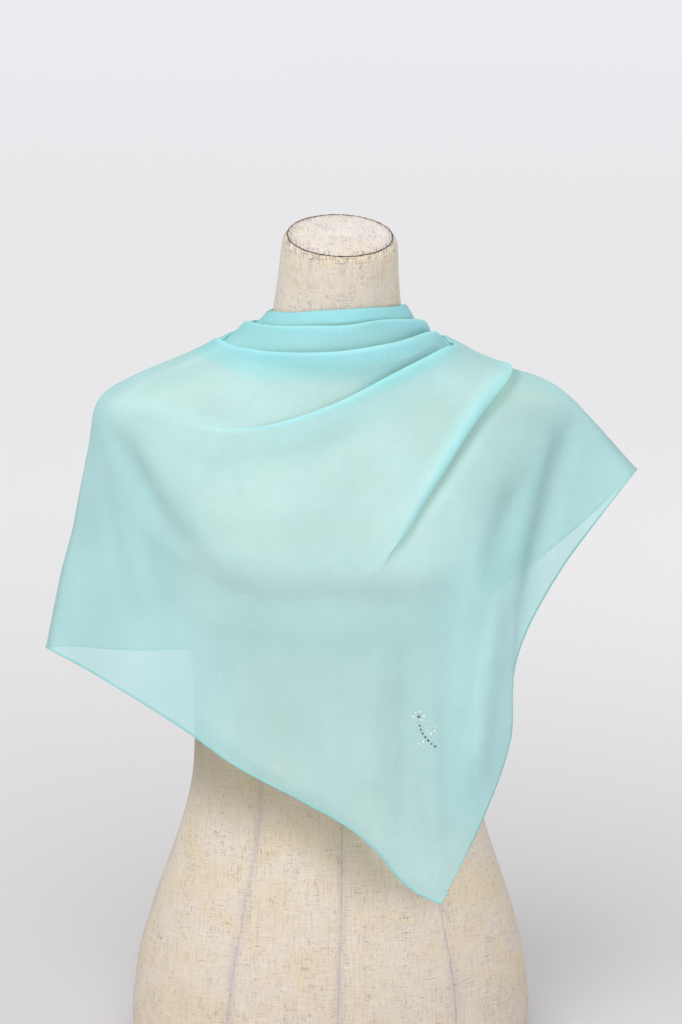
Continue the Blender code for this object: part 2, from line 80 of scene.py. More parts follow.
FORM_SECTIONS = in_metres((
    # side_x, side_z, front_y, front_z, back_y, back_z, bend, corner
    (172.5, 12.3, -111, 12.3, 116, 12.3, 1, 2.15),
    (173.5, 40, -112, 40, 118.5, 40, 1, 2.15),
    (167, 90, -110, 90, 117, 90, 1, 2.15),
    (153, 140, -103, 140, 107, 140, 1, 2.1),
    (133.5, 197, -93, 197, 91, 197, 1, 2.1),
    (122.5, 242, -86.5, 242, 81, 242, 1, 2.1),
    (119.8, 285, -84, 285, 77.5, 285, 1, 2.1),
    (120.8, 330, -88.5, 330, 79, 330, 1, 2.1),
    (129, 385, -98.5, 385, 86, 385, 1, 2.15),
    (139, 445, -108, 445, 93, 445, 1, 2.2),
    (150, 485, -105, 495, 98.5, 490, 1.5, 2.15),
    (167, 515, -93, 535, 101, 535, 2, 2.05),
    (185, 540, -80, 570, 97, 575, 2, 2),
    (193, 560, -72, 590, 88, 600, 2, 1.95),
    (186, 575, -66, 602, 80, 616, 2, 1.9),
    (145, 591.5, -60, 614, 71, 631, 2, 1.9),
    (85, 615, -54.5, 628, 62, 646, 2, 2),
    (58.5, 633, -53, 640, 56, 659, 1.5, 2),
    (53.2, 656, -55.5, 654, 48.5, 676, 1, 2),
    (50, 685, -60, 675, 39, 700, 1, 2),
    (47.8, 709.2, -63.4, 696.5, 28.5, 722, 1, 2),
    (44.4, 714.8, -61.6, 702.5, 24.5, 727, 1, 2),
), kept=(6, 7))
YOKE = in_metres((
    # direction, x, y, z, rounding, dip
    (0, 197.5, 3, 578, 16, 20),
    (22, 178, 48, 568, 40, 19),
    (48, 128, 88, 570, 60, 8),
    (90, 0, 104, 565, 75, 2),
    (132, -128, 88, 570, 60, 8),
    (158, -178, 48, 570, 40, 12),
    (180, -202.5, 3, 578.5, 20, 8),
    (202, -174, -56, 545, 45, 8),
    (226, -124, -104, 498, 75, 4),
    (248, -68, -124, 462, 90, 0),
    (270, 0, -127, 456, 90, 0),
    (294, 64, -126, 460, 90, 0),
    (318, 120, -108, 494, 75, 4),
    (340, 174, -56, 545, 45, 10),
))
HEM = in_metres((
    # direction, x, y, z
    (0, 259.5, 0, 511.5),
    (14, 225, 45, 459),
    (32, 178, 86, 405),
    (58, 96, 112, 342),
    (90, 0, 118, 326),
    (122, -96, 100, 334),
    (150, -174, 55, 345),
    (168, -225, 18, 359),
    (180, -247, 0, 363),
    (192, -195, -60, 346.5),
    (210, -136, -99.5, 317),
    (222, -95.9, -114.4, 290.1),
    (240, -42, -125.4, 262),
    (256, 1, -130, 237),
    (270, 27.4, -132.5, 212.5),
    (278, 38.4, -133.2, 197.5),
    (286, 55.2, -134.1, 182.1),
    (294, 77, -135, 171),
    (308, 111, -120, 235),
    (322, 137.5, -100, 300),
    (334, 143, -88, 367),
    (348, 184, -62, 437),
    (360, 259.5, 0, 511.5),
))
HEM_RUNS = HEM[:9], HEM[8:18], HEM[17:]  # they meet in corners at 180 and 294 degrees
NECK_EDGE = in_metres((
    # direction, x, y, z
    (0, 53.5, 0, 655),
    (22.5, 51.5, 20, 651),
    (45, 40, 38.5, 656),
    (90, 0, 58.5, 658),
    (135, -41.5, 41, 642),
    (157.5, -52.5, 20.5, 642),
    (180, -54.5, 0, 649),
    (225, -38.5, -39, 655),
    (270, 0, -55, 659.5),
    (315, 38.5, -39, 659),
))
FOLD_NAMES = ("first", "second", "third", "pleat")
FOLDS = in_metres((
    # direction, then edge and tuck of the first, second and third fold and of the pleat
    (0, 21, 7, 36, 7, 57, 6, 114, 3),
    (30, 20, 5, 38, 2, 62, 1, 114, -3),
    (60, 19, 1, 40, -1, 70, -5, 122, -8),
    (90, 19, -5, 42, -2, 80, -10, 138, -10),
    (120, 19, -5, 44, -2, 94, -10, 160, -10),
    (150, 18, 6, 46, 1, 118, -10, 184, -10),
    (180, 18, 6, 48, 5, 150, -10, 214, -10),
    (210, 15, 8, 42, 11, 118, -5, 236, -10),
    (240, 14, 8, 38, 14, 98, 3, 252, -10),
    (270, 14, 8, 35, 15, 74, 10, 236, -8),
    (300, 12, 8, 32, 14, 56, 13, 161, 9),
    (330, 15, 8, 30, 11, 49.5, 13, 114, 12),
))
FOLD_SHARES = (0.0, 0.04, 0.26, 0.44, 0.56, 0.74, 1.0)
FOLD_LAYERS = {"first": (0, 2), "second": (0.4, 2.4), "third": (0.6, 2.6), "pleat": (2, 0)}
ROWS_ABOVE = (1, 0, 2, 4)
ROWS_BELOW_PLEAT = 6
DRAPE_POINTS = 24  # on each of the drape's three parts: to the yoke, round it and down to the hem

# ---- sizes of this scene ----
RIB_STEP_FRONT = 1.5  # degrees
RIB_STEP_BACK = 2.25
ROWS_IN_FOLD = 3  # fine rows for each row of the CAD source, in the folds and below them
ROWS_IN_SKIRT = 11
LIFT_ROUNDS, SPREAD_ROUNDS = 14, 11  # all the lifts that clear the form, and the widened ones


# ---- tables ----
def on_curve(rows, at):
    """All the columns after the first, at a key on smooth lines through rows[1:-1]."""
    low = min(np.searchsorted(rows[1:-1, 0], at, side="right") - 1, len(rows) - 4)
    k, v = rows[low : low + 4, 0], rows[low : low + 4, 1:]
    span = k[2] - k[1]
    t = (at - k[1]) / span
    slope_1 = (v[2] - v[0]) / (k[2] - k[0]) * span
    slope_2 = (v[3] - v[1]) / (k[3] - k[1]) * span
    return ((2 * t**3 - 3 * t**2 + 1) * v[1] + (t**3 - 2 * t**2 + t) * slope_1
            + (3 * t**2 - 2 * t**3) * v[2] + (t**3 - t**2) * slope_2)


def round_table(table, at):
    """The lines run on past 360 degrees."""
    turn = np.array([360.0] + [0.0] * (table.shape[1] - 1))
    return on_curve(np.vstack([table[-1] - turn, table, table[:2] + turn]), at % 360.0)


def run_table(table, at):
    return on_curve(np.vstack([2 * table[0] - table[1], table, 2 * table[-1] - table[-2]]), at)


def eased(share):
    share = np.clip(share, 0.0, 1.0)
    return share * share * (3.0 - 2.0 * share)


def rising(at, start, span):
    """0 up to the start, and 1 from a span after it."""
    return eased((at - start) / span)


def falling(at, start, span):
    return 1.0 - rising(at, start, span)


def hump(at, middle, half):
    """1 at the middle and 0 from half away, with soft ends."""
    return eased(1.0 - np.abs(at - middle) / half)


def unit(v):
    return v / np.maximum(np.linalg.norm(v, axis=-1, keepdims=True), 1e-12)


def summed(steps):
    """The sums of the steps so far, from 0."""
    return np.concatenate([[0], np.cumsum(steps)])


def lengths_along(line):
    return summed(np.linalg.norm(np.diff(line, axis=0), axis=1))


def noise_at(*place):
    return noise.noise(Vector(place))


# ---- meshes ----
def add_mesh(name, points, faces, material, smooth=True):
    mesh = bpy.data.meshes.new(name)
    mesh.from_pydata([tuple(map(float, p)) for p in points], [], faces)
    mesh.validate()
    if smooth:
        mesh.shade_smooth()
    mesh.materials.append(material)
    made = bpy.data.objects.new(name, mesh)
    bpy.context.scene.collection.objects.link(made)
    return made


def pairs(count, closed=True):
    """Each place and the next, and if closed the last and the first."""
    return [(i, (i + 1) % count) for i in range(count if closed else count - 1)]


def grid_faces(columns, rows):
    """Quads of a closed grid whose points run down each column, one column after the other."""
    return [(i * rows + j, i * rows + j + 1, k * rows + j + 1, k * rows + j)
            for i, k in pairs(columns) for j in range(rows - 1)]


def give_values(made, name, values):
    layer = made.data.attributes.new(name, "FLOAT", "POINT")
    layer.data.foreach_set("value", np.asarray(values, np.float32).ravel())


def give_uv(made, uv_of_loop):
    layer = made.data.uv_layers.new(name="metres")
    layer.data.foreach_set("uv", np.asarray(uv_of_loop, np.float32).ravel())


def tube(points, across, out, half_wide, half_thick, sides=8, closed=True):
    """Points and faces of a flattened tube along a line, with its own directions at each point."""
    rings = []
    for p, a, o, w, t in zip(points, across, out, half_wide, half_thick):
        for s in range(sides):
            angle = 2 * math.pi * s / sides
            rings.append(p + a * (w * math.cos(angle)) + o * (t * math.sin(angle)))
    faces = [(i * sides + s, k * sides + s, k * sides + q, i * sides + q)
             for i, k in pairs(len(points), closed) for s, q in pairs(sides)]
    if not closed:
        faces += [tuple(range(sides)), tuple(reversed(range(len(rings) - sides, len(rings))))]
    return rings, faces


# ---- materials ----
def linear(*srgb):
    return tuple(
        c / 12.92 if c <= 0.04045 else ((c + 0.055) / 1.055) ** 2.4 for c in (v / 255 for v in srgb)
    ) + (1.0,)


class Nodes:
    """Short calls for the node tree of a new material, or of a new world."""

    def __init__(self, name, kind="materials", shader="Principled BSDF"):
        self.made = getattr(bpy.data, kind).new(name)
        self.made.use_nodes = True
        self.tree = self.made.node_tree
        self.shader = self.tree.nodes[shader]

    def add(self, kind, **settings):
        node = self.tree.nodes.new(kind)
        for key, value in settings.items():
            setattr(node, key, value)
        return node

    def link(self, source, target):
        self.tree.links.new(source, target)

    def set(self, **values):
        for key, value in values.items():
            self.shader.inputs[key.replace("_", " ")].default_value = value

    def coordinates(self, *stretch):
        """The object's coordinates for three numbers, and the cloth's own, in metres, for two."""
        if len(stretch) == 2:
            source = self.add("ShaderNodeUVMap", uv_map="metres").outputs["UV"]
            stretch = (*stretch, 1)
        else:
            source = self.add("ShaderNodeTexCoord").outputs["Object"]
        mapping = self.add("ShaderNodeMapping")
        mapping.inputs["Scale"].default_value = stretch
        self.link(source, mapping.inputs["Vector"])
        return mapping.outputs["Vector"]

    def noise(self, *stretch, scale=1.0, detail=2.0, rough=0.5, distortion=0.0):
        node = self.add("ShaderNodeTexNoise")
        numbers = (scale, detail, rough, distortion)
        for key, number in zip(("Scale", "Detail", "Roughness", "Distortion"), numbers):
            node.inputs[key].default_value = number
        self.link(self.coordinates(*stretch), node.inputs["Vector"])
        return node.outputs["Fac"]

    def weave(self, fine, coarse):
        """Noise drawn out along the warp, and along the weft."""
        return self.noise(fine, coarse, rough=0.6), self.noise(coarse, fine, rough=0.6)

    def ramp(self, value, low, high, to_low=0.0, to_high=1.0):
        node = self.add("ShaderNodeMapRange")
        node.interpolation_type = "SMOOTHSTEP"
        numbers = (low, high, to_low, to_high)
        for key, number in zip(("From Min", "From Max", "To Min", "To Max"), numbers):
            node.inputs[key].default_value = number
        self.link(value, node.inputs["Value"])
        return node.outputs["Result"]

    def math(self, operation, a, b):
        node = self.add("ShaderNodeMath", operation=operation)
        for place, value in enumerate((a, b)):
            if isinstance(value, (int, float)):
                node.inputs[place].default_value = value
            else:
                self.link(value, node.inputs[place])
        return node.outputs[0]

    def mix(self, factor, a, b):
        """Two colours mixed, each a socket, three sRGB values or a linear colour of four."""
        node = self.add("ShaderNodeMix", data_type="RGBA")
        self.link(factor, node.inputs[0])
        for place, colour in ((6, a), (7, b)):
            if isinstance(colour, tuple):
                colour = colour if len(colour) == 4 else linear(*colour)
                node.inputs[place].default_value = colour
            else:
                self.link(colour, node.inputs[place])
        return node.outputs[2]

    def over(self, body, value, low, high, to_low, to_high, *colour):
        """The body with a colour laid over it, by a ramp of a value."""
        return self.mix(self.ramp(value, low, high, to_low, to_high), body, colour)

    def value(self, name):
        return self.add("ShaderNodeAttribute", attribute_name=name).outputs["Fac"]

    def bump(self, height, distance, strength):
        node = self.add("ShaderNodeBump")
        node.inputs["Distance"].default_value = distance
        node.inputs["Strength"].default_value = strength
        self.link(height, node.inputs["Height"])
        self.link(node.outputs["Normal"], self.shader.inputs["Normal"])

    def colour(self, socket):
        self.link(socket, self.shader.inputs["Base Color"])

    def roughness(self, socket):
        self.link(socket, self.shader.inputs["Roughness"])


DENSE_TONE, PAINTED_SHADE_TONE, PAINTED_HIGHLIGHT_TONE = (147, 212, 218), (116, 176, 171), (178, 240, 244)


def chiffon(name, tone, alpha):
    """Sheer crepe weave: threads both ways, and a tone that clouds a little.

    The sheet's values are read here: dense_and_painted_shade and close, where more cloth lies, the
    first also painted shade by the third fold; thin, where it hardly shows; and tone, painted shade
    above 0 and painted highlight below.
    """
    n = Nodes(name)
    n.set(Sheen_Weight=0.12, Sheen_Roughness=0.4, Specular_IOR_Level=0.2)
    n.shader.inputs["Sheen Tint"].default_value = linear(226, 250, 250)
    threads = n.math("ADD", *n.weave(1500, 90))
    cloud = n.noise(14, 14, 14, detail=3.0, rough=0.55)
    deep, pale = [tuple(min(255, c + step) for c in tone) for step in (-4, 4)]
    body = n.mix(n.ramp(cloud, 0.3, 0.7), deep, pale)
    # deeper colour where cloth lies layered, which also paints shade by the third fold
    body = n.over(body, n.value("dense_and_painted_shade"), 0.0, 1.0, 0.0, 0.9, *DENSE_TONE)
    # tone paints shade above 0 and a highlight below 0
    body = n.over(body, n.value("tone"), 0.0, 1.0, 0.0, 0.7, *PAINTED_SHADE_TONE)
    body = n.over(body, n.value("tone"), 0.0, -1.0, 0.0, 0.7, *PAINTED_HIGHLIGHT_TONE)
    body = n.over(body, threads, 0.7, 0.95, 0.12, 0.0, *[c - 30 for c in tone])
    n.colour(n.over(body, threads, 1.05, 1.3, 0.0, 0.12, 236, 252, 252))
    parts = (("dense_and_painted_shade", 0.12), ("close", 0.18))
    closer = n.math("ADD", *[n.math("MULTIPLY", n.value(name), share) for name, share in parts])
    seen = n.math("ADD", n.ramp(n.value("thin"), 0.0, 1.0, alpha, 0.1), closer)
    n.link(seen, n.shader.inputs["Alpha"])
    n.roughness(n.ramp(threads, 0.6, 1.4, 0.62, 0.8))
    n.bump(threads, 0.00012, 0.35)
    return n.made


def linen(name, light, straw, grey, fewest=0.670):
    """Slubby natural linen with charcoal flecks, and heather grey along its seams; painted shade
    darkens it towards the bottom and below the scarf's hem.
    """
    n = Nodes(name)
    n.set(Sheen_Weight=0.08, Sheen_Roughness=0.5, Specular_IOR_Level=0.15)
    threads = n.math("ADD", *n.weave(1000, 55))
    patches = n.noise(13, 20, detail=4.0, rough=0.6, distortion=0.8)
    height = n.add("ShaderNodeSeparateXYZ")
    n.link(n.coordinates(1, 1, 1), height.inputs[0])
    body = n.over(light, patches, 0.44, 0.64, 0.0, 0.75, *straw)
    heather = n.noise(70, 16, scale=1.3)
    near_seam = n.value("seam")
    greyed = n.math("MAXIMUM", n.math("MULTIPLY", near_seam, n.ramp(heather, 0.35, 0.6, 0.2, 0.85)),
                    n.ramp(heather, 0.62, 0.74, 0.0, 0.35))
    body = n.mix(greyed, body, grey)
    body = n.over(body, near_seam, 0.94, 1.0, 0.0, 0.3, 118, 112, 114)
    # painted shade: the linen darker towards the bottom
    body = n.over(body, height.outputs["Z"], 0.05, 0.55, 0.2, 0.0, 150, 134, 112)
    body = n.over(body, threads, 0.72, 0.98, 0.26, 0.0, 150, 134, 112)
    body = n.over(body, threads, 1.04, 1.36, 0.0, 0.3, 246, 240, 230)
    body = n.over(body, n.noise(420, 26, detail=1.0), 0.60, 0.74, 0.0, 0.25, 176, 160, 138)
    flecks = n.weave(1300, 120)
    limit = n.ramp(n.noise(60, 34, detail=1.0), 0.3, 0.7, fewest, fewest - 0.065)
    limit = n.math("SUBTRACT", limit, n.math("MULTIPLY", n.value("worn"), 0.10))
    past = n.math("MAXIMUM", *[n.math("SUBTRACT", fleck, limit) for fleck in flecks])
    dark = n.ramp(past, 0.0, 0.05, 0.0, 0.55)
    body = n.mix(dark, body, (62, 54, 52))
    # painted shadow below the scarf's hem
    n.colour(n.over(body, n.value("painted_hem_shadow"), 0.0, 1.0, 0.0, 0.66, 132, 124, 98))
    n.roughness(n.ramp(threads, 0.7, 1.3, 0.92, 0.8))
    n.bump(n.math("SUBTRACT", threads, n.math("MULTIPLY", dark, 0.3)), 0.00025, 0.5)
    return n.made


def board_wood():
    """Oiled birch with fine long grain."""
    n = Nodes("birch board")
    n.set(Specular_IOR_Level=0.35)
    grain = n.noise(6, 160, 160, detail=5.0, rough=0.6, distortion=0.5)
    rings = n.noise(1.5, 22, 22, detail=3.0, distortion=1.2)
    body = n.mix(n.ramp(rings, 0.35, 0.65), (176, 138, 96), (206, 172, 128))
    n.colour(n.over(body, grain, 0.35, 0.65, 0.0, 0.45, 132, 96, 60))
    n.roughness(n.ramp(grain, 0.3, 0.7, 0.42, 0.62))
    n.bump(grain, 0.0002, 0.4)
    return n.made


def stone(name, colour, metal, rough):
    """A small foiled glass stone, with paler patches on it as painted glints."""
    n = Nodes(name)
    n.set(Metallic=metal, Specular_IOR_Level=0.8, Coat_Weight=0.6, Coat_Roughness=0.03)
    # paler patches: painted glints on the facets
    tint = n.noise(700, 700, 700, detail=1.0)
    painted_glint = tuple(min(255, c + 96) for c in colour)
    n.colour(n.mix(n.ramp(tint, 0.35, 0.6), colour, painted_glint))
    n.roughness(n.ramp(tint, 0.3, 0.7, rough, rough + 0.08))
    return n.made


def fray():
    """Charcoal yarn."""
    n = Nodes("charcoal fray")
    n.set(Specular_IOR_Level=0.2)
    twist = n.noise(900, 900, 900)
    n.colour(n.mix(n.ramp(twist, 0.3, 0.7), (44, 36, 40), (92, 76, 84)))
    n.roughness(n.ramp(twist, 0.2, 0.8, 0.75, 0.95))
    n.bump(twist, 0.0001, 0.5)
    return n.made


def backdrop_paper():
    """Pale studio paper, with painted shade: darker near the form and lighter farther from it."""
    n = Nodes("studio paper")
    n.set(Specular_IOR_Level=0.0, Roughness=1.0)
    away = n.add("ShaderNodeVectorMath", operation="LENGTH")
    n.link(n.coordinates(1, 1, 1), away.inputs[0])
    away = away.outputs["Value"]
    # painted shade near the form, fading out farther away
    near = n.mix(n.ramp(away, 0.0, 2.6), PAPER_NEAR_PAINTED_SHADE, PAPER_MIDDLE)
    far = n.mix(n.ramp(away, 2.3, 15.0), near, PAPER_FAR)
    mottle = n.noise(0.5, 0.5, 0.5)
    n.colour(n.over(far, mottle, 0.3, 0.7, 0.0, 0.02, 200, 200, 205))
    return n.made


# ---- the dress form ----
SEAM_HALF = 0.0013  # half the width of the groove along a seam
SEAM_DEEP = 0.0007
SEAM_SPOTS = (-1.0, -0.45, 0.0, 0.45, 1.0)  # columns of points across a seam, in half widths
SEAM_SINK = (0.0, 0.55, 1.0, 0.55, 0.0)
SEAM_GREY = (0.88, 0.94, 1.0, 0.94, 0.88)
SEAM_HEATHER = 0.0030  # how far the greyer linen reaches from a seam
PANEL_PUFF = 0.0004  # how far a panel stands up between its seams
PUFF_REACH, PUFF_START = 0.012, 0.004  # how far from a seam it is full, and how softly it starts
PANEL_COLUMNS = 15
FORM_RINGS = 7  # rings for each section of the form
FORM_SEAMS = (
    # direction, lean at the bottom, section where it ends; from the left side round by the back
    (0, 0, 11), (57, 0, 15), (90, 0, 21), (123, 0, 15),
    (180, 0, 11), (237, 0, 15), (270, -1.7, 21), (303, 0, 15),
)
BACK_SEAM, FRONT_SEAM = 2, 6  # the centre seams in the table
RIM_HALF = 0.0444  # half the width of the neck's rim
RIM_ROLL = ((0.0004, 0.0006), (0.0010, 0.0009), (0.0014, 0.0004), (0.0016, -0.0008))  # inset, rise
RIM_WEAR = 0.012  # how far below the neck's rim the flecks crowd
RING_SAMPLES = 1441  # fine points that each ring's spacing is measured on
SECTION_TABLE = np.column_stack([range(len(FORM_SECTIONS)), FORM_SECTIONS])


def ring_points(section, angles):
    """Points round one section of the form at these angles, as in the CAD source."""
    side_x, side_z, front_y, front_z, back_y, back_z, bend, corner = section
    across, along = np.cos(angles), np.sin(angles)
    x = side_x * np.sign(across) * np.abs(across) ** (2 / corner)
    share = np.sign(along) * np.abs(along) ** (2 / corner)
    y = (front_y + back_y) / 2 + (back_y - front_y) / 2 * share
    z = side_z + (np.where(share > 0, back_z, front_z) - side_z) * np.abs(share) ** bend
    for bust_x in (-BUST_X, BUST_X):
        away = np.hypot(x - bust_x, z - BUST_HEIGHT) / BUST_SPREAD
        y -= np.where(share < 0, BUST_FULLNESS * np.exp(-away * away) * np.abs(share), 0.0)
    return np.stack([x, y, z], -1)


def build_form(material):
    """The linen cover: eight panels with sunk seams, and a rolled top edge."""
    fine = np.linspace(0, 2 * math.pi, RING_SAMPLES)
    offsets, sunk = np.array(SEAM_SPOTS) * SEAM_HALF, np.array(SEAM_SINK) * SEAM_DEEP
    turn = np.cos(np.arange(1, PANEL_COLUMNS + 1) / (PANEL_COLUMNS + 1) * math.pi)
    shares = 0.5 - 0.5 * turn * (0.75 + 0.25 * turn**2)  # closer together beside the seams
    grid, seams, deep, lengths, wholes = [], [], [], [], []
    for at in np.arange((len(FORM_SECTIONS) - 1) * FORM_RINGS + 1) / FORM_RINGS:
        ring = ring_points(run_table(SECTION_TABLE, at), fine)
        length = lengths_along(ring)
        whole = length[-1]
        lean = falling(at, 0.0, 6.0)
        middles = [np.interp(math.radians(a + b * lean), fine, length) for a, b, _ in FORM_SEAMS]
        low_down = 1.0 - 0.8 * rising(at, 4.5, 4.0)
        places, depths, near = [], [], []
        following = middles[1:] + [middles[0] + whole]
        for here, there, (_, _, end) in zip(middles, following, FORM_SEAMS):
            strength = falling(at, end - 1.5, 1.5)
            start, stop = here + SEAM_HALF, there - SEAM_HALF
            spots = start + (stop - start) * shares
            full = np.minimum(spots - start, stop - spots)
            puff = -PANEL_PUFF * eased(full / PUFF_REACH) * strength * eased(full / PUFF_START)
            places += [*(here + offsets), *spots]
            depths += [*(sunk * strength), *puff]
            near += [*SEAM_GREY, *np.exp(-((full / SEAM_HEATHER) ** 2))]
        places = np.array(places)
        wrapped = np.mod(places, whole)
        grid.append(np.stack([np.interp(wrapped, length, ring[:, k]) for k in range(3)], -1))
        deep.append(depths)
        seams.append(low_down * np.array(near))
        unrolled = np.where(places > middles[BACK_SEAM] - 1e-9, places, places + whole)
        lengths.append(unrolled - middles[FRONT_SEAM])
        wholes.append(whole)
    grid = np.array(grid)
    down = np.gradient(grid, axis=0)
    around = np.roll(grid, -1, 1) - np.roll(grid, 1, 1)
    grid -= unit(np.cross(around, down)) * np.array(deep)[..., None]
    # the cover rolls over the neck's rim and in to the cap
    rim = grid[-1]
    centre = rim.mean(0)
    plane = unit(np.cross(rim[0] - centre, rim[len(rim) // 4] - centre))
    extra = [centre + (rim - centre) * (1 - inset / RIM_HALF) + plane * rise
             for inset, rise in RIM_ROLL]
    grid = np.concatenate([grid, extra])
    seams, u = (np.vstack([rows, [rows[-1]] * len(extra)]) for rows in (seams, lengths))
    wholes += wholes[-1:] * len(extra)
    v = summed(np.linalg.norm(np.diff(grid, axis=0), axis=2).mean(1))
    rings, sides = grid.shape[:2]
    faces, uv = [], []
    for k in range(rings - 1):
        for i, j in pairs(sides):
            faces.append((k * sides + i, k * sides + j, (k + 1) * sides + j, (k + 1) * sides + i))
            ends = [u[k, i], u[k, j], u[k + 1, j], u[k + 1, i]]
            for a, b, whole in ((0, 1, wholes[k]), (3, 2, wholes[k + 1])):
                ends[b] += whole * round((ends[a] - ends[b]) / whole)
            uv += zip(ends, (v[k], v[k], v[k + 1], v[k + 1]))
    for ring, turn in ((0, -1), (rings - 1, 1)):
        order = list(range(sides))[::turn]
        faces.append(tuple(ring * sides + i for i in order))
        uv += [(grid[ring, i, 0], grid[ring, i, 1]) for i in order]
    made = add_mesh("form_cover", grid.reshape(-1, 3), faces, material)
    give_uv(made, uv)
    give_values(made, "seam", seams)
    below_rim = (grid - centre) @ plane
    give_values(made, "worn", 1 - eased(-below_rim / RIM_WEAR))
    return made, rim, centre, plane


CAP_SIDES = 96
CAP_RINGS = (  # shares of the way from the cap's middle to the rim
    0.04, 0.08, 0.13, 0.19, 0.26, 0.34, 0.43, 0.53, 0.63, 0.73, 0.82, 0.89, 0.94, 0.962, 0.972,
)
CAP_MIDDLE, CAP_DEEP = 0.0013, 0.0016  # the middle's height, and how far the edge turns down
CAP_GREY, CAP_WORN = 0.4, 0.6  # heather and flecks near the cap's edge
THREAD_STEPS, THREAD_SHARE = 240, 0.985
THREAD_RISE, THREAD_HALF = 0.00085, 0.00042
LOOSE_ENDS = 90
HAIR = (0.00011, 0.00009, 0.00005)  # half a loose end's thickness, from its root to its tip


def cap_height(x, y, share):
    """A low dome with a pinched dimple."""
    dx, dy = x + 0.0005, y + 0.0015
    away = math.hypot(dx / 1.7, dy)
    fold = math.sin(3 * math.atan2(dy, dx) + 0.6) * math.exp(-(((away - 0.008) / 0.007) ** 2))
    height = 0.0027 - 0.0011 * share**2 - 0.0016 * rising(share, 0.90, 0.075)
    height -= 0.0020 * math.exp(-((away / 0.0045) ** 2))
    return height + 0.00055 * fold + 0.00025 * noise_at(x * 90, y * 90, 3.1)


def build_cap(rim, centre, plane, material, thread):
    """The covered disc in the neck, and its frayed seam."""
    start = rim[0] - centre
    side_way = unit(start - plane * np.dot(start, plane))
    fore_way = np.cross(plane, side_way)
    flat = (rim - centre) @ side_way, (rim - centre) @ fore_way
    angles, reach = np.arctan2(flat[1], flat[0]), np.hypot(*flat)

    def rim_at(angle):
        return np.interp(angle, angles, reach, period=2 * math.pi)

    points, faces, uv = [], [], []
    for share in CAP_RINGS:
        for i in range(CAP_SIDES):
            a = 2 * math.pi * i / CAP_SIDES
            r = rim_at(a) * share
            x, y = r * math.cos(a), r * math.sin(a)
            points.append(centre + side_way * x + fore_way * y + plane * cap_height(x, y, share))
            uv.append((x, y))
    middle = len(points)
    low = middle + 1
    outer = middle - CAP_SIDES
    points += [centre + plane * CAP_MIDDLE, *[p - plane * CAP_DEEP for p in points[outer:]]]
    uv += [(0.0, 0.0), *uv[outer:]]
    starts = [*range(0, middle, CAP_SIDES), low]
    for i, j in pairs(CAP_SIDES):
        faces += [(a + i, b + i, b + j, a + j) for a, b in zip(starts, starts[1:])]
        faces.append((i, j, middle))
    faces.append(tuple(low + i for i in reversed(range(CAP_SIDES))))
    made = add_mesh("neck_cap", points, faces, material)
    give_uv(made, [uv[v] for p in made.data.polygons for v in p.vertices])
    near = np.ones(len(points))
    near[:middle] = np.repeat(rising(np.array(CAP_RINGS), 0.80, 0.15), CAP_SIDES)
    give_values(made, "seam", near * CAP_GREY)
    give_values(made, "worn", near * CAP_WORN)

    line, across, size = [], [], []
    for i in range(THREAD_STEPS):
        a = 2 * math.pi * i / THREAD_STEPS
        x, y = math.cos(a), math.sin(a)
        way = side_way * x + fore_way * y
        r = rim_at(a) * THREAD_SHARE + 0.00030 * noise_at(x * 6, y * 6, 9.0)
        rise = THREAD_RISE + 0.00022 * noise_at(x * 9, y * 9, 4.0)
        line.append(centre + way * r + plane * rise)
        across.append(way)
        size.append(THREAD_HALF + 0.00018 * noise_at(x * 20, y * 20, 1.0))
    points, faces = tube(line, across, [plane] * THREAD_STEPS, size, size, 6)
    for _ in range(LOOSE_ENDS):
        i = random.randrange(THREAD_STEPS)
        lean = random.uniform(-1.0, 1.0)
        along = line[(i + 3) % THREAD_STEPS] - line[i - 3]
        outward = across[i] * random.uniform(-0.6, 1.0)
        way = unit(along * lean * 250 + outward + plane * random.uniform(0.2, 1.0))
        length = random.uniform(0.0007, 0.0022)
        bend = unit(np.cross(way, plane)) * random.uniform(-0.4, 0.4) * length
        hair = [line[i] + way * length * s + bend * s * s for s in (0.0, 0.5, 1.0)]
        one = unit(np.cross(way, across[i] + along))
        first = len(points)
        more, ends = tube(hair, [one] * 3, [np.cross(one, way)] * 3, HAIR, HAIR, 4, False)
        points += more
        faces += [tuple(first + v for v in face) for face in ends]
    return made, add_mesh("cap_seam_thread", points, faces, thread)


# ---- the scarf ----
def rib_line(direction):
    """Points of the plain drape down one direction, from the neck edge to the hem."""
    angle = math.radians(direction)
    neck = round_table(NECK_EDGE, direction)
    neck = neck + np.array((math.cos(angle), math.sin(angle), 0.0)) * NECK_STAND_OFF
    *yoke, rounding, dip = round_table(YOKE, direction)
    yoke = np.array(yoke)
    hem = run_table(next(run for run in HEM_RUNS if direction <= run[-1, 0]), direction)
    start = yoke + unit(neck - yoke) * rounding
    end = yoke + unit(hem - yoke) * rounding
    t = (np.arange(DRAPE_POINTS) / DRAPE_POINTS)[:, None]
    sunk = dip * t * (1 - t) ** 2 * 27 / 4  # as deep as the dip at its lowest
    over = neck + (start - neck) * t - sunk * np.array((0.0, 0.0, 1.0))
    turn = (1 - t) ** 2 * start + 2 * t * (1 - t) * yoke + t * t * end
    t = (np.arange(DRAPE_POINTS + 1) / DRAPE_POINTS)[:, None]
    return np.vstack([over, turn, end + (hem - end) * t])


def fold_shut(tuck):
    return rising(tuck, FOLD_OPEN, FOLD_SHUT - FOLD_OPEN)


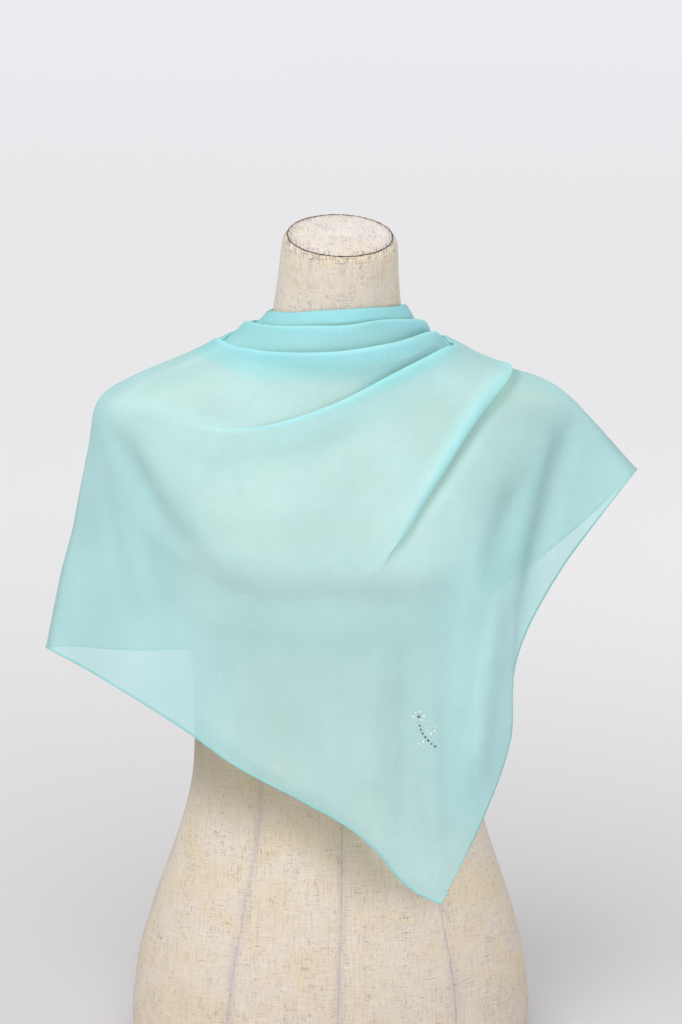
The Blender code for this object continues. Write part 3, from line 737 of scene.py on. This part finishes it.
def fold_rows(fold, direction):
    """(distance, layers) of a fold's rows, as in the CAD source."""
    place = 2 * FOLD_NAMES.index(fold)
    edge, tuck = round_table(FOLDS, direction)[place : place + 2]
    above, below = FOLD_LAYERS[fold]
    shut = fold_shut(tuck)
    tuck = max(tuck, FOLD_SHUT)
    nose = FOLD_NOSE
    if below > above:
        folded = (0.0, tuck - nose, tuck, tuck - nose, nose, 0.0, nose)
        shares = FOLD_SHARES
    else:
        folded = (-nose, 0.0, -nose, nose - tuck, -tuck, nose - tuck, 0.0)
        shares = [1.0 - share for share in reversed(FOLD_SHARES)]
    rows = []
    for i, share in enumerate(shares):
        apart = (i - 3) * FOLD_SPREAD
        rows.append((edge + apart + (folded[i] - apart) * shut,
                     shut * (above + share * (below - above))))
    if below > above:
        past = max(edge + tuck + nose, rows[-1][0] + FOLD_SPREAD)
        rows.append((past, shut * (below - COVER_SAG)))
    return rows


def between(first, last, count):
    shares = [i / (count + 1) for i in range(1, count + 1)]
    return [tuple(a + (b - a) * share for a, b in zip(first, last)) for share in shares]


def rib_rows(length, direction):
    """(distance, layers) of the CAD source's rows down one direction."""
    inner, nose = -NECK_LAYER / LAYER, NECK_LAYER / 2
    rows = [(NECK_TURN_IN, inner), (NECK_TURN_IN / 2, inner), (nose, inner)]
    rows += [(0.0, inner / 2), (nose, 0.0)]
    for fold, above in zip(FOLD_NAMES, ROWS_ABOVE):
        part = fold_rows(fold, direction)
        rows += between(rows[-1], part[0], above) + part
    settled = (rows[-1][0] + SETTLING, 0.0)
    return rows + [settled, *between(settled, (length, 0.0), ROWS_BELOW_PLEAT), (length, 0.0)]


def fine_steps(count):
    """Where the fine rows lie, counted in rows of the CAD source."""
    skirt = count - 1 - (ROWS_BELOW_PLEAT + 2)
    parts = [ROWS_IN_SKIRT if i >= skirt else ROWS_IN_FOLD for i in range(count - 1)]
    return np.concatenate([i + np.arange(n) / n for i, n in enumerate(parts)] + [[count - 1]])


def softened(rows):
    """A finer run of rows on a smooth line through the given ones."""
    points = np.array(rows) * (1.0, LAYER)
    points = np.vstack([2 * points[0] - points[1], points, 2 * points[-1] - points[-2]])
    chords = np.sqrt(np.linalg.norm(np.diff(points, axis=0), axis=1) + 1e-7)
    knots = summed(chords)
    stages = (((0, 1), (1, 2), (2, 3)), ((0, 2), (1, 3)), ((1, 2),))
    fine = []
    for at in fine_steps(len(rows))[:-1]:
        i = int(at + 1e-6)
        p, k = points[i : i + 4], knots[i : i + 4]
        t = k[1] + (k[2] - k[1]) * (at - i)
        for spans in stages:
            p = [(p[j] * (k[b] - t) + p[j + 1] * (t - k[a])) / (k[b] - k[a])
                 for j, (a, b) in enumerate(spans)]
        fine.append(p[0])
    fine.append(points[-2])
    return np.array(fine)


class Drape:
    """The plain drape as a surface over direction and distance."""

    def __init__(self, form):
        back, front = round(180 / RIB_STEP_BACK), round(180 / RIB_STEP_FRONT)
        self.directions = np.concatenate(
            [np.arange(back) * RIB_STEP_BACK, 180 + np.arange(front) * RIB_STEP_FRONT])
        self.lines = [rib_line(d) for d in self.directions]
        self.lengths = [lengths_along(line) for line in self.lines]
        self.ends = np.array([length[-1] for length in self.lengths])
        self.tree = BVHTree.FromObject(form, bpy.context.evaluated_depsgraph_get())
        self.levels = np.arange(int(self.ends.max() / LIFT_STEP) + 3) * LIFT_STEP
        grid = np.repeat(self.levels[None], len(self.directions), 0)
        plain, out = self.places(grid), self.outward(grid)
        self.lifts = np.zeros(grid.shape)
        need = CLOTH / 2 + CLEAR + NECK_LAYER * (grid < NECK_TURN_IN + LIFT_STEP)
        for number in range(LIFT_ROUNDS):
            short = np.clip(need - self.heights(plain + out * self.lifts[..., None]), 0, None)
            self.lifts += self.spread(short) if number < SPREAD_ROUNDS else short
        edge = round(NECK_TURN_IN / LIFT_STEP) + 2
        self.lifts[:, :edge] = self.lifts[:, :edge].max(axis=1, keepdims=True)

    def at(self, i, distances):
        line, length = self.lines[i], self.lengths[i]
        low = np.clip(np.searchsorted(length, distances) - 1, 0, len(length) - 2)
        way = unit(line[low + 1] - line[low])
        return line[low] + way * (distances - length[low])[:, None]

    def places(self, grid):
        return np.array([self.at(i, grid[i]) for i in range(len(self.directions))])

    def outward(self, grid):
        down = self.places(grid + DRAPE_STEP) - self.places(grid - DRAPE_STEP)
        count = len(self.directions)
        around = [self.at((i + 1) % count, grid[i]) - self.at(i - 1, grid[i]) for i in range(count)]
        return unit(np.cross(down, np.array(around)))

    def heights(self, points):
        found = []
        for p in points.reshape(-1, 3):
            place, normal, _, away = self.tree.find_nearest(Vector(p))
            found.append(math.copysign(away, (Vector(p) - place).dot(normal)))
        return np.array(found).reshape(points.shape[:2])

    @staticmethod
    def spread(field):
        """The field's peaks widened and softened, so that a lift leaves no dent."""
        wide = field
        for axis in (0, 1):
            wide = np.max([np.roll(wide, s, axis) for s in (-2, -1, 0, 1, 2)], axis=0)
        for _ in range(2):
            for axis in (0, 1):
                wide = (np.roll(wide, 1, axis) + 2 * wide + np.roll(wide, -1, axis)) / 4
        return wide

    def lift(self, grid):
        rows = zip(grid, self.lifts)
        return np.array([np.interp(distances, self.levels, lifts) for distances, lifts in rows])


CREASES = (
    # side, half-width, height, and the line's x and z in millimetres: a soft ridge, or a trough
    # below 0
    ("front", 17, -4.5, ((-195, 574), (-176, 535), (-152, 489), (-105, 450))),
    ("front", 15, 3, ((-190, 552), (-184, 500), (-172, 440), (-166, 400))),
    ("front", 24, 3, ((-165, 512), (-135, 480), (-100, 460), (-70, 454), (0, 452), (60, 452),
                      (105, 462))),
    ("front", 26, -3.5, ((-160, 482), (-130, 450), (-100, 431), (-70, 426), (0, 423), (60, 423),
                         (115, 432))),
    ("front", 13, -3, ((-165, 560), (-120, 549), (-72, 545), (-15, 554), (30, 572))),
    ("front", 9, 2.4, ((142, 606), (119, 587.5), (95, 560), (67, 524), (39, 488.5), (8, 468))),
    ("front", 9, -2.4, ((134, 588), (110, 556), (82, 522), (52, 486))),
    ("front", 18, -4.2, ((205, 574), (187, 529), (174, 481), (160, 430))),
    ("front", 12, 2.5, ((180, 570), (160, 510), (146, 450), (136, 400))),
    ("front", 18, -3.4, ((147, 532), (133.5, 492.6), (120, 459), (110, 420))),
    ("front", 14, -2.6, ((44, 410), (42, 330), (42, 261), (40, 205))),
    ("front", 12, 1.8, ((18, 405), (21, 313), (18, 230))),
    ("front", 13, 1.8, ((66, 400), (68, 295), (73, 200))),
    ("front", 16, 3, ((128, 450), (118, 390), (110, 320), (104, 250))),
    ("front", 16, -1.6, ((-120, 420), (-105, 360), (-95, 300))),
    ("front", 16, 1.2, ((-60, 400), (-55, 330), (-50, 275))),
    ("both", 30, -2.6, ((-203, 578), (-211, 535), (-221, 480), (-232, 425))),
    ("back", 18, -4, ((-85, 575), (-72, 450), (-78, 335))),
    ("back", 18, -3.6, ((45, 580), (56, 460), (75, 345))),
    ("back", 22, 2.6, ((-28, 590), (-12, 450), (4, 325))),
    ("back", 14, -4.2, ((196, 572), (172, 500), (148, 415))),
    ("back", 15, 2.6, ((160, 570), (128, 470), (112, 370))),
    ("back", 15, -4.2, ((-192, 566), (-186, 480), (-170, 370))),
    ("back", 16, 2.6, ((-150, 566), (-134, 470), (-124, 350))),
    ("back", 12, -2.4, ((-125, 600), (-60, 572), (0, 563), (60, 572), (115, 592))),
)
# where the second fold gapes: direction, half the width round and down the cloth, how much
POCKET = (228.0, 42.0, 0.012, 0.45)
RIPPLES = ((0.110, 0.0022), (0.045, 0.0007))  # metres between them, height


def crease_strength(xz, line, half):
    """1 on a line of x and z in millimetres, and 0 from half away and at its ends."""
    line, half = np.array(line) / 1000, half / 1000
    starts = lengths_along(line)
    near, place = np.full(xz.shape[:2], np.inf), np.zeros(xz.shape[:2])
    for a, b, step, start in zip(line, line[1:], np.diff(starts), starts):
        share = np.clip((xz - a) @ (b - a) / step**2, 0, 1)
        away = np.linalg.norm(xz - a - share[..., None] * (b - a), axis=-1)
        closer = away < near
        near, place = np.where(closer, away, near), np.where(closer, start + share * step, place)
    ends = np.minimum(place, starts[-1] - place) / (0.3 * starts[-1])
    return hump(near, 0.0, half) * eased(ends)


def past_90(directions):
    """The directions from 90 to 450, so that the front has no jump in it."""
    return np.where(directions < 90, directions + 360, directions)


def sides_of(directions):
    """How much each direction belongs to a crease's side."""
    turned = past_90(directions)
    front = (rising(turned, 170, 20) * falling(turned, 350, 20))[:, None]
    return {"front": front, "back": 1 - front, "both": 1.0}


def creases(points, directions, distance):
    """How far the creases and ripples raise the cloth."""
    sides = sides_of(directions)
    xz = points[..., (0, 2)]
    raised = sum(sides[side] * height / 1000 * crease_strength(xz, line, half)
                 for side, half, height, line in CREASES)
    free = rising(distance, 0.13, 0.20)
    for apart, height in RIPPLES:
        scaled = points.reshape(-1, 3) / apart * (1.0, 1.0, 0.45)
        ripple = np.array([noise_at(*p) for p in scaled]).reshape(distance.shape)
        raised = raised + height * free * ripple
    return raised


PAINTED_SHADE_AND_LIGHT_BANDS = (
    # painted shade bands on the front, and one painted light band: half-width, tone (painted shade
    # above 0, painted light below), and the line's x and z in millimetres
    (34, 0.22, ((136, 500), (120, 400), (117, 340), (112, 280), (98, 200))),
    (18, 0.52, ((196, 575), (164, 525), (150, 455), (145, 400))),
    (24, 0.4, ((141, 540), (126, 457), (110, 410))),
    (22, 0.35, ((-199, 585), (-176, 541), (-149, 506), (-102, 450))),
    (40, 0.35, ((-140, 450), (-90, 412), (-40, 408), (60, 408), (115, 420))),
    (13, -0.35, ((-200, 582), (-150, 575), (-105, 566), (-60, 562))),
    (14, 0.3, ((44, 410), (42, 330), (42, 261), (40, 195))),
    (18, 0.4, ((-75, 622), (-30, 614), (20, 612), (65, 626))),
    (22, 0.4, ((-170, 555), (-110, 540), (-60, 545), (-10, 562), (40, 588))),
)
CLOSE = (
    # where the cloth shows less of what is behind it: half-width, strength, line
    (60, 1.8, ((150, 520), (122, 430), (116, 360), (112, 300), (100, 190))),
    (60, 0.6, ((-150, 440), (-130, 370), (-122, 320), (-115, 250))),
)
LIP_PAINTED_SHADE_AND_HIGHLIGHT = {
    # how far the painted shade behind a fold's lip and the painted highlight on it reach, in
    # millimetres, and how strong they are
    "first": (2.8, 4, 1, 0.7),
    "second": (4.5, 5, 0.8, 0.8),
    "third": (3.6, 6, 0.65, 0.8),
    "pleat": (8, 15.5, 1.45, 1),
}
HIDDEN = (0.0, 0.9, 1.0, 0.9, 0.15, 0.0)  # how thin the rows behind a fold's lip look
NECK_ROWS = 5
ROWS_OF_FOLD = 7


def looks(points, distance, directions):
    """The sheet's values for its material: dense_and_painted_shade, close, thin and tone, the last
    painted shade and painted highlight.
    """
    folds = np.array([round_table(FOLDS, d) for d in directions])
    steps = fine_steps(NECK_ROWS + sum(ROWS_ABOVE) + 4 * ROWS_OF_FOLD + 3 + ROWS_BELOW_PLEAT + 2)
    thin, tone = np.zeros(distance.shape), np.zeros(distance.shape)
    first = NECK_ROWS
    front, on = sides_of(directions)["front"], past_90(directions)
    turned = (1 - 0.8 * hump(on, 180.0, 42.0) - 0.75 * hump(on, 362.0, 64.0))[:, None]
    for which, (fold, above) in enumerate(zip(FOLD_NAMES, ROWS_ABOVE)):
        edge, tuck = folds[:, 2 * which, None], folds[:, 2 * which + 1, None]
        shut = fold_shut(tuck)
        first += above
        up = fold != "pleat"
        along = steps - first if up else first + ROWS_OF_FOLD - 1 - steps
        hidden = np.interp(along, range(len(HIDDEN)), HIDDEN)
        thin = np.maximum(thin, rising(shut, 0.8, 0.2) * hidden)
        painted_shade_reach, painted_highlight_reach, dark, light = LIP_PAINTED_SHADE_AND_HIGHLIGHT[fold]
        away = np.abs(distance - edge) * 1000
        # tone: painted shade in the gap behind each lip, and a painted highlight along the lip
        behind = np.where(along <= 0, np.exp(-((away / painted_shade_reach) ** 2)), along < 4.5)
        tone += shut**2 * dark * (turned if up else 1.0) * behind
        tone -= shut * light * (along > 4.5) * np.exp(-((away / painted_highlight_reach) ** 2))
        first += ROWS_OF_FOLD + up
    second, third = folds[:, 2, None], folds[:, 4, None]
    # deeper colour where the cloth crowds near the neck, reaching down as painted shade into the
    # hollow above the third fold's lip, most on the right; and a little deeper under that fold
    right = rising(points[..., 0], -0.015, 0.05)
    crowded_and_painted_hollow = np.maximum(falling(distance - second, 0.012, 0.026),
                         right * falling(third - distance, 0.022, 0.020))
    dense_and_painted_shade = crowded_and_painted_hollow * falling(distance - third, 0.002, 0.014) * falling(distance, 0.064, 0.022)
    under = rising(distance - third, 0.0, 0.004) * falling(distance - third, 0.012, 0.034)
    dense_and_painted_shade = np.maximum(dense_and_painted_shade, 0.42 * under * fold_shut(folds[:, 5, None]) * front)
    # painted shade and light bands on the front, and where the cloth shows less of what is behind
    # it
    marked = [sum(front * amount * crease_strength(points[..., (0, 2)], line, half)
                  for half, amount, line in table) for table in (PAINTED_SHADE_AND_LIGHT_BANDS, CLOSE)]
    return {"dense_and_painted_shade": dense_and_painted_shade, "close": np.clip(marked[1], 0, 1),
            "thin": thin, "tone": np.clip(tone + marked[0], -1, 1)}


def build_scarf(form, material):
    drape = Drape(form)
    directions = drape.directions
    rows = np.array([softened(rib_rows(end, d)) for d, end in zip(directions, drape.ends)])
    distance, layers = rows[..., 0], rows[..., 1]
    second = np.array([round_table(FOLDS, d)[2] for d in directions])[:, None]
    middle, half, deep, more = POCKET
    gapes = more * hump(directions, middle, half)[:, None] * hump(distance, second, deep)
    layers = layers * (1 + gapes)
    out = drape.outward(distance)
    plain = drape.places(distance) + out * drape.lift(distance)[..., None]
    away = layers + creases(plain, directions, distance)
    short = CLOTH / 2 + CLEAR - drape.heights(plain + out * away[..., None])
    points = plain + out * (away + Drape.spread(np.clip(short, 0, None)))[..., None]
    columns, count = distance.shape
    faces = grid_faces(columns, count)
    made = add_mesh("chiffon_scarf", points.reshape(-1, 3), faces, material)
    ring = np.linalg.norm(np.roll(points, -1, 0) - points, axis=2)
    u = np.concatenate([np.zeros((1, count)), np.cumsum(ring, axis=0)])
    u = u - u[directions.searchsorted(270)]
    steps = np.linalg.norm(np.diff(points, axis=1), axis=2)
    v = np.concatenate([np.zeros((columns, 1)), np.cumsum(steps, axis=1)], 1)
    v = np.vstack([v, v[:1]])
    give_uv(made, [(u[a, b], v[a, b]) for i in range(columns) for j in range(count - 1)
                   for a, b in ((i, j), (i, j + 1), (i + 1, j + 1), (i + 1, j))])
    for name, values in looks(points, distance, directions).items():
        give_values(made, name, values)
    return made, points, directions, out


HEM_SHADOW_PAINT = (
    # x, from the form's right to its left; how far below the hem the painted shadow reaches; its
    # strength
    (-0.120, -0.080, -0.050, 0.000, 0.020, 0.042, 0.070, 0.100),
    (0.060, 0.050, 0.043, 0.043, 0.036, 0.026, 0.021, 0.016),
    (1.00, 1.00, 0.93, 0.80, 0.75, 0.62, 0.65, 0.30),
)
DEPTH_SHARE = 0.2  # how much of the gap from front to back counts as distance


def paint_hem_shadow(form, points):
    """Painted shadow on the linen just below the scarf's hem, in front and behind."""
    hem = points[:, -1] * (1.0, DEPTH_SHARE, 1.0)
    at = np.array([vertex.co for vertex in form.data.vertices])
    reach, strength = (np.interp(at[:, 0], HEM_SHADOW_PAINT[0], row) for row in HEM_SHADOW_PAINT[1:])
    sides = []
    for line in (hem[hem[:, 1] <= 0], hem[hem[:, 1] >= 0]):
        tree = KDTree(len(line))
        for i, place in enumerate(line):
            tree.insert(place, i)
        tree.balance()
        found = [tree.find(place)[::2] for place in at * (1.0, DEPTH_SHARE, 1.0)]
        drop = np.array([place.z for place, _ in found]) - at[:, 2]
        away = np.array([away for _, away in found])
        sides.append(rising(drop, -0.006, 0.014) * falling(away / reach, 0.3, 1.4))
    front = falling(at[:, 1], -0.005, 0.06)
    give_values(form, "painted_hem_shadow", strength * (front * sides[0] + (1 - front) * sides[1]))


JOIN_DIRECTION = 62.0
JOIN_FIRST_ROW = 12
JOIN_HALF, JOIN_THICK = 0.0013, 0.00045


def build_join(points, directions, out, material):
    """The seam that joins a short end to a long side, behind the form's left shoulder."""
    i = directions.searchsorted(JOIN_DIRECTION)
    line, across = points[i, JOIN_FIRST_ROW:], unit(points[i + 1] - points[i - 1])[JOIN_FIRST_ROW:]
    size = np.ones(len(line))
    ring, faces = tube(line, across, out[i, JOIN_FIRST_ROW:], size * JOIN_HALF, size * JOIN_THICK,
                       6, False)
    return add_mesh("scarf_join_seam", ring, faces, material)


HEM_WIDE, HEM_NARROW = 0.00110, 0.00085  # half its width: right side to point, and the rest
HEM_FLAT = 0.62  # its thickness, as a share of its width
HEM_IN = 0.0006  # how far it lies in from the cloth's edge
HEM_PAINTED_SHADE = 0.8


def build_hem(points, directions, material):
    """The rolled hem round the free edge, with painted shade where it runs up to the left shoulder.
    """
    line = points[:, -1]
    down = unit(line - points[:, -3])
    around = np.roll(line, -1, 0) - np.roll(line, 1, 0)
    out = unit(np.cross(down, around))
    across = unit(np.cross(unit(around), out))
    wide = np.where((directions >= 180) & (directions <= 294), HEM_WIDE, HEM_NARROW)
    ring, faces = tube(line - down * HEM_IN, across, out, wide, wide * HEM_FLAT)
    made = add_mesh("scarf_hem", ring, faces, material)
    # painted shade on the hem's run up to the left shoulder
    hem_painted_shade = rising(directions, 296.0, 12.0) * falling(directions, 350.0, 9.0)
    give_values(made, "tone", np.repeat(HEM_PAINTED_SHADE * hem_painted_shade, 8))
    return made


STONE_CENTRE = (0.0620, 0.3200)  # x and z
STONE_SPACING, STONE_SIZE = 1.35, 1.2
STONES = (
    # a small blossom on its stem: kind, colour, metal, roughness, and for each stone its x and z
    # from the centre and its radius in millimetres
    ("dark", (30, 36, 42), 0.4, 0.12, (
        (-4, 9, 1), (-3.3, 3.4, 0.8), (-2.6, 0.9, 0.8), (-1.5, -1.5, 0.85), (0.1, -3.7, 0.8),
        (1.9, -5.8, 0.85), (3.9, -7.8, 0.8), (6.1, -9.5, 0.75),
    )),
    ("clear", (186, 194, 200), 0.0, 0.08, (
        (-0.9, 9.4, 0.95), (-2.7, 11.9, 0.95), (-5.7, 11.7, 0.9), (-7.1, 9, 0.95),
        (-5.4, 6.3, 0.95), (-2.3, 6.6, 0.9), (1.5, 0.2, 0.8), (3.6, 2, 0.85), (6.2, 2.6, 0.8),
        (6, -0.2, 0.85), (3.7, -1.6, 0.8), (-1.4, -6.8, 0.8), (-3.6, -8.4, 0.8),
        (-5.2, -10.7, 0.75),
    )),
)
STONE_RINGS = (
    # sole, girdle and table: share of the radius, height, and how many facets it is turned by
    (1.0, 0.00002, 0.0),
    (1.0, 0.00022, 0.0),
    (0.62, 0.00075, 0.5),
)
FACETS = 8


def build_stones(scarf):
    """Small flat-backed stones, each a crown of facets round a table."""
    tree = BVHTree.FromObject(scarf, bpy.context.evaluated_depsgraph_get())
    made = []
    for kind, colour, metal, rough, places in STONES:
        points, faces = [], []
        for x, z, radius in places:
            start = Vector((STONE_CENTRE[0] + x * STONE_SPACING / 1000, -0.4,
                            STONE_CENTRE[1] + z * STONE_SPACING / 1000))
            place, normal, *_ = tree.ray_cast(start, Vector((0, 1, 0)))
            normal = normal if normal.y < 0 else -normal
            one = normal.orthogonal().normalized()
            other = normal.cross(one)
            first, turn = len(points), random.uniform(0, math.pi)
            for share, height, turned in STONE_RINGS:
                reach = radius * STONE_SIZE / 1000 * share
                for k in range(FACETS):
                    a = turn + 2 * math.pi / FACETS * (k + turned)
                    way = one * math.cos(a) + other * math.sin(a)
                    points.append(place + normal * height + way * reach)
            sole, girdle, table = (range(i, i + FACETS) for i in range(first, len(points), FACETS))
            for k, q in pairs(FACETS):
                faces += [(sole[k], sole[q], girdle[q], girdle[k]),
                          (girdle[k], girdle[q], table[k]), (girdle[q], table[q], table[k])]
            faces += [tuple(table), tuple(reversed(sole))]
        material = stone("stone " + kind, colour, metal, rough)
        made.append(add_mesh("stones_" + kind, points, faces, material, smooth=False))
    return made


# ---- stage, light and camera ----
PAPER_NEAR_PAINTED_SHADE, PAPER_MIDDLE, PAPER_FAR = (210, 208, 209), (226, 226, 227), (231, 230, 235)
AIR = 0.52  # brightness of the light from all round
SUN, SUN_SPREAD = 2.3, math.radians(55)
SIDE_LAMP = 5.0
HAZE_TOP = 0.3  # the air is as light as the paper at the horizon, and darker from this rise up
STAGE_RINGS, STAGE_SIDES = (0.4, 0.8, 1.6, 3.2, 6.4, 12.8, 25.6, 50.0), 64


def build_stage():
    angles = [2 * math.pi * s / STAGE_SIDES for s in range(STAGE_SIDES)]
    points = [(r * math.cos(a), r * math.sin(a), 0) for a in angles for r in STAGE_RINGS]
    faces = grid_faces(STAGE_SIDES, len(STAGE_RINGS))
    faces.append(tuple(s * len(STAGE_RINGS) for s in range(STAGE_SIDES)))
    floor = add_mesh("studio_floor", points, faces, backdrop_paper())


def add_lamp(name, kind, place, target, **settings):
    lamp = bpy.data.lights.new(name, kind)
    for key, value in settings.items():
        setattr(lamp, key, value)
    made = bpy.data.objects.new(name, lamp)
    made.location = place
    made.rotation_euler = (Vector(target) - Vector(place)).to_track_quat("-Z", "Y").to_euler()
    bpy.context.scene.collection.objects.link(made)


def build_light():
    n = Nodes("studio air", "worlds", "Background")
    parts = n.add("ShaderNodeSeparateXYZ")
    n.link(n.add("ShaderNodeTexCoord").outputs["Generated"], parts.inputs[0])
    above = (0.96 * AIR, 0.97 * AIR, AIR, 1.0)
    air = n.mix(n.ramp(parts.outputs["Z"], 0.0, HAZE_TOP), PAPER_FAR, above)
    n.link(air, n.shader.inputs["Color"])
    bpy.context.scene.world = n.made
    add_lamp("key", "SUN", (-0.65, -2.0, 2.4), (0, 0, 0),
             energy=SUN, angle=SUN_SPREAD, color=(1.0, 0.985, 0.965))
    add_lamp("side", "AREA", (1.6, 1.4, 1.6), (0, 0, 0.5),
             shape="DISK", size=1.6, energy=SIDE_LAMP, color=(0.97, 0.99, 1.0))
    bpy.context.scene.view_settings.view_transform = "Standard"


CAMERA_AZIMUTH, CAMERA_ELEVATION, CAMERA_ROLL = -6.0, 12.0, 0.5
CAMERA_DISTANCE = 2.8
CAMERA_TARGET = (0.0047, 0.0, 0.477)
PIXEL = 0.00085  # metres in the photograph's pixel at the target
FRAME_HIGH, SENSOR = 1024, 36.0


def build_camera():
    turn = (Matrix.Rotation(math.radians(CAMERA_AZIMUTH), 4, "Z")
            @ Matrix.Rotation(math.radians(90.0 - CAMERA_ELEVATION), 4, "X")
            @ Matrix.Rotation(math.radians(CAMERA_ROLL), 4, "Z"))
    back = Matrix.Translation((0.0, 0.0, CAMERA_DISTANCE))
    lens = bpy.data.cameras.new("camera")
    lens.sensor_width = SENSOR
    lens.lens = SENSOR * CAMERA_DISTANCE / (PIXEL * FRAME_HIGH)
    made = bpy.data.objects.new("camera", lens)
    made.matrix_world = Matrix.Translation(CAMERA_TARGET) @ turn @ back
    bpy.context.scene.collection.objects.link(made)
    bpy.context.scene.camera = made


# ---- all together ----
def main():
    build_stage()
    build_light()
    build_camera()
    cloth = chiffon("chiffon", (171, 216, 217), 0.72)
    seam_cloth = chiffon("chiffon seam", (166, 212, 213), 0.85)
    hem_cloth = chiffon("chiffon hem", (156, 208, 208), 0.8)
    cover = linen("linen cover", (225, 214, 200), (224, 209, 181), (204, 196, 196))
    cap_cover = linen("linen cap cover", (224, 216, 209), (222, 210, 192), (196, 189, 190), 0.655)
    form, rim, centre, plane = build_form(cover)
    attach(form, "root"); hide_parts("form_body")
    cap, thread = build_cap(rim, centre, plane, cap_cover, fray())
    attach(cap, "root"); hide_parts("form_neck_cap")
    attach(thread, "root")
    base = bpy.data.objects["form_base"]
    base.material_slots[0].material = board_wood()
    bpy.context.view_layer.update()

    scarf, points, directions, out = build_scarf(form, cloth)
    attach(scarf, "root")
    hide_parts(*[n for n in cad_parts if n.startswith("scarf_")])
    paint_hem_shadow(form, points)
    hem = build_hem(points, directions, hem_cloth)
    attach(hem, "root")
    join = build_join(points, directions, out, seam_cloth)
    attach(join, "root")
    for sheer in (scarf, hem, join):
        sheer.visible_shadow = False  # sheer cloth lets its light through to what it lies on
    dark, clear = build_stones(scarf)
    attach(dark, "root"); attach(clear, "root")


main()
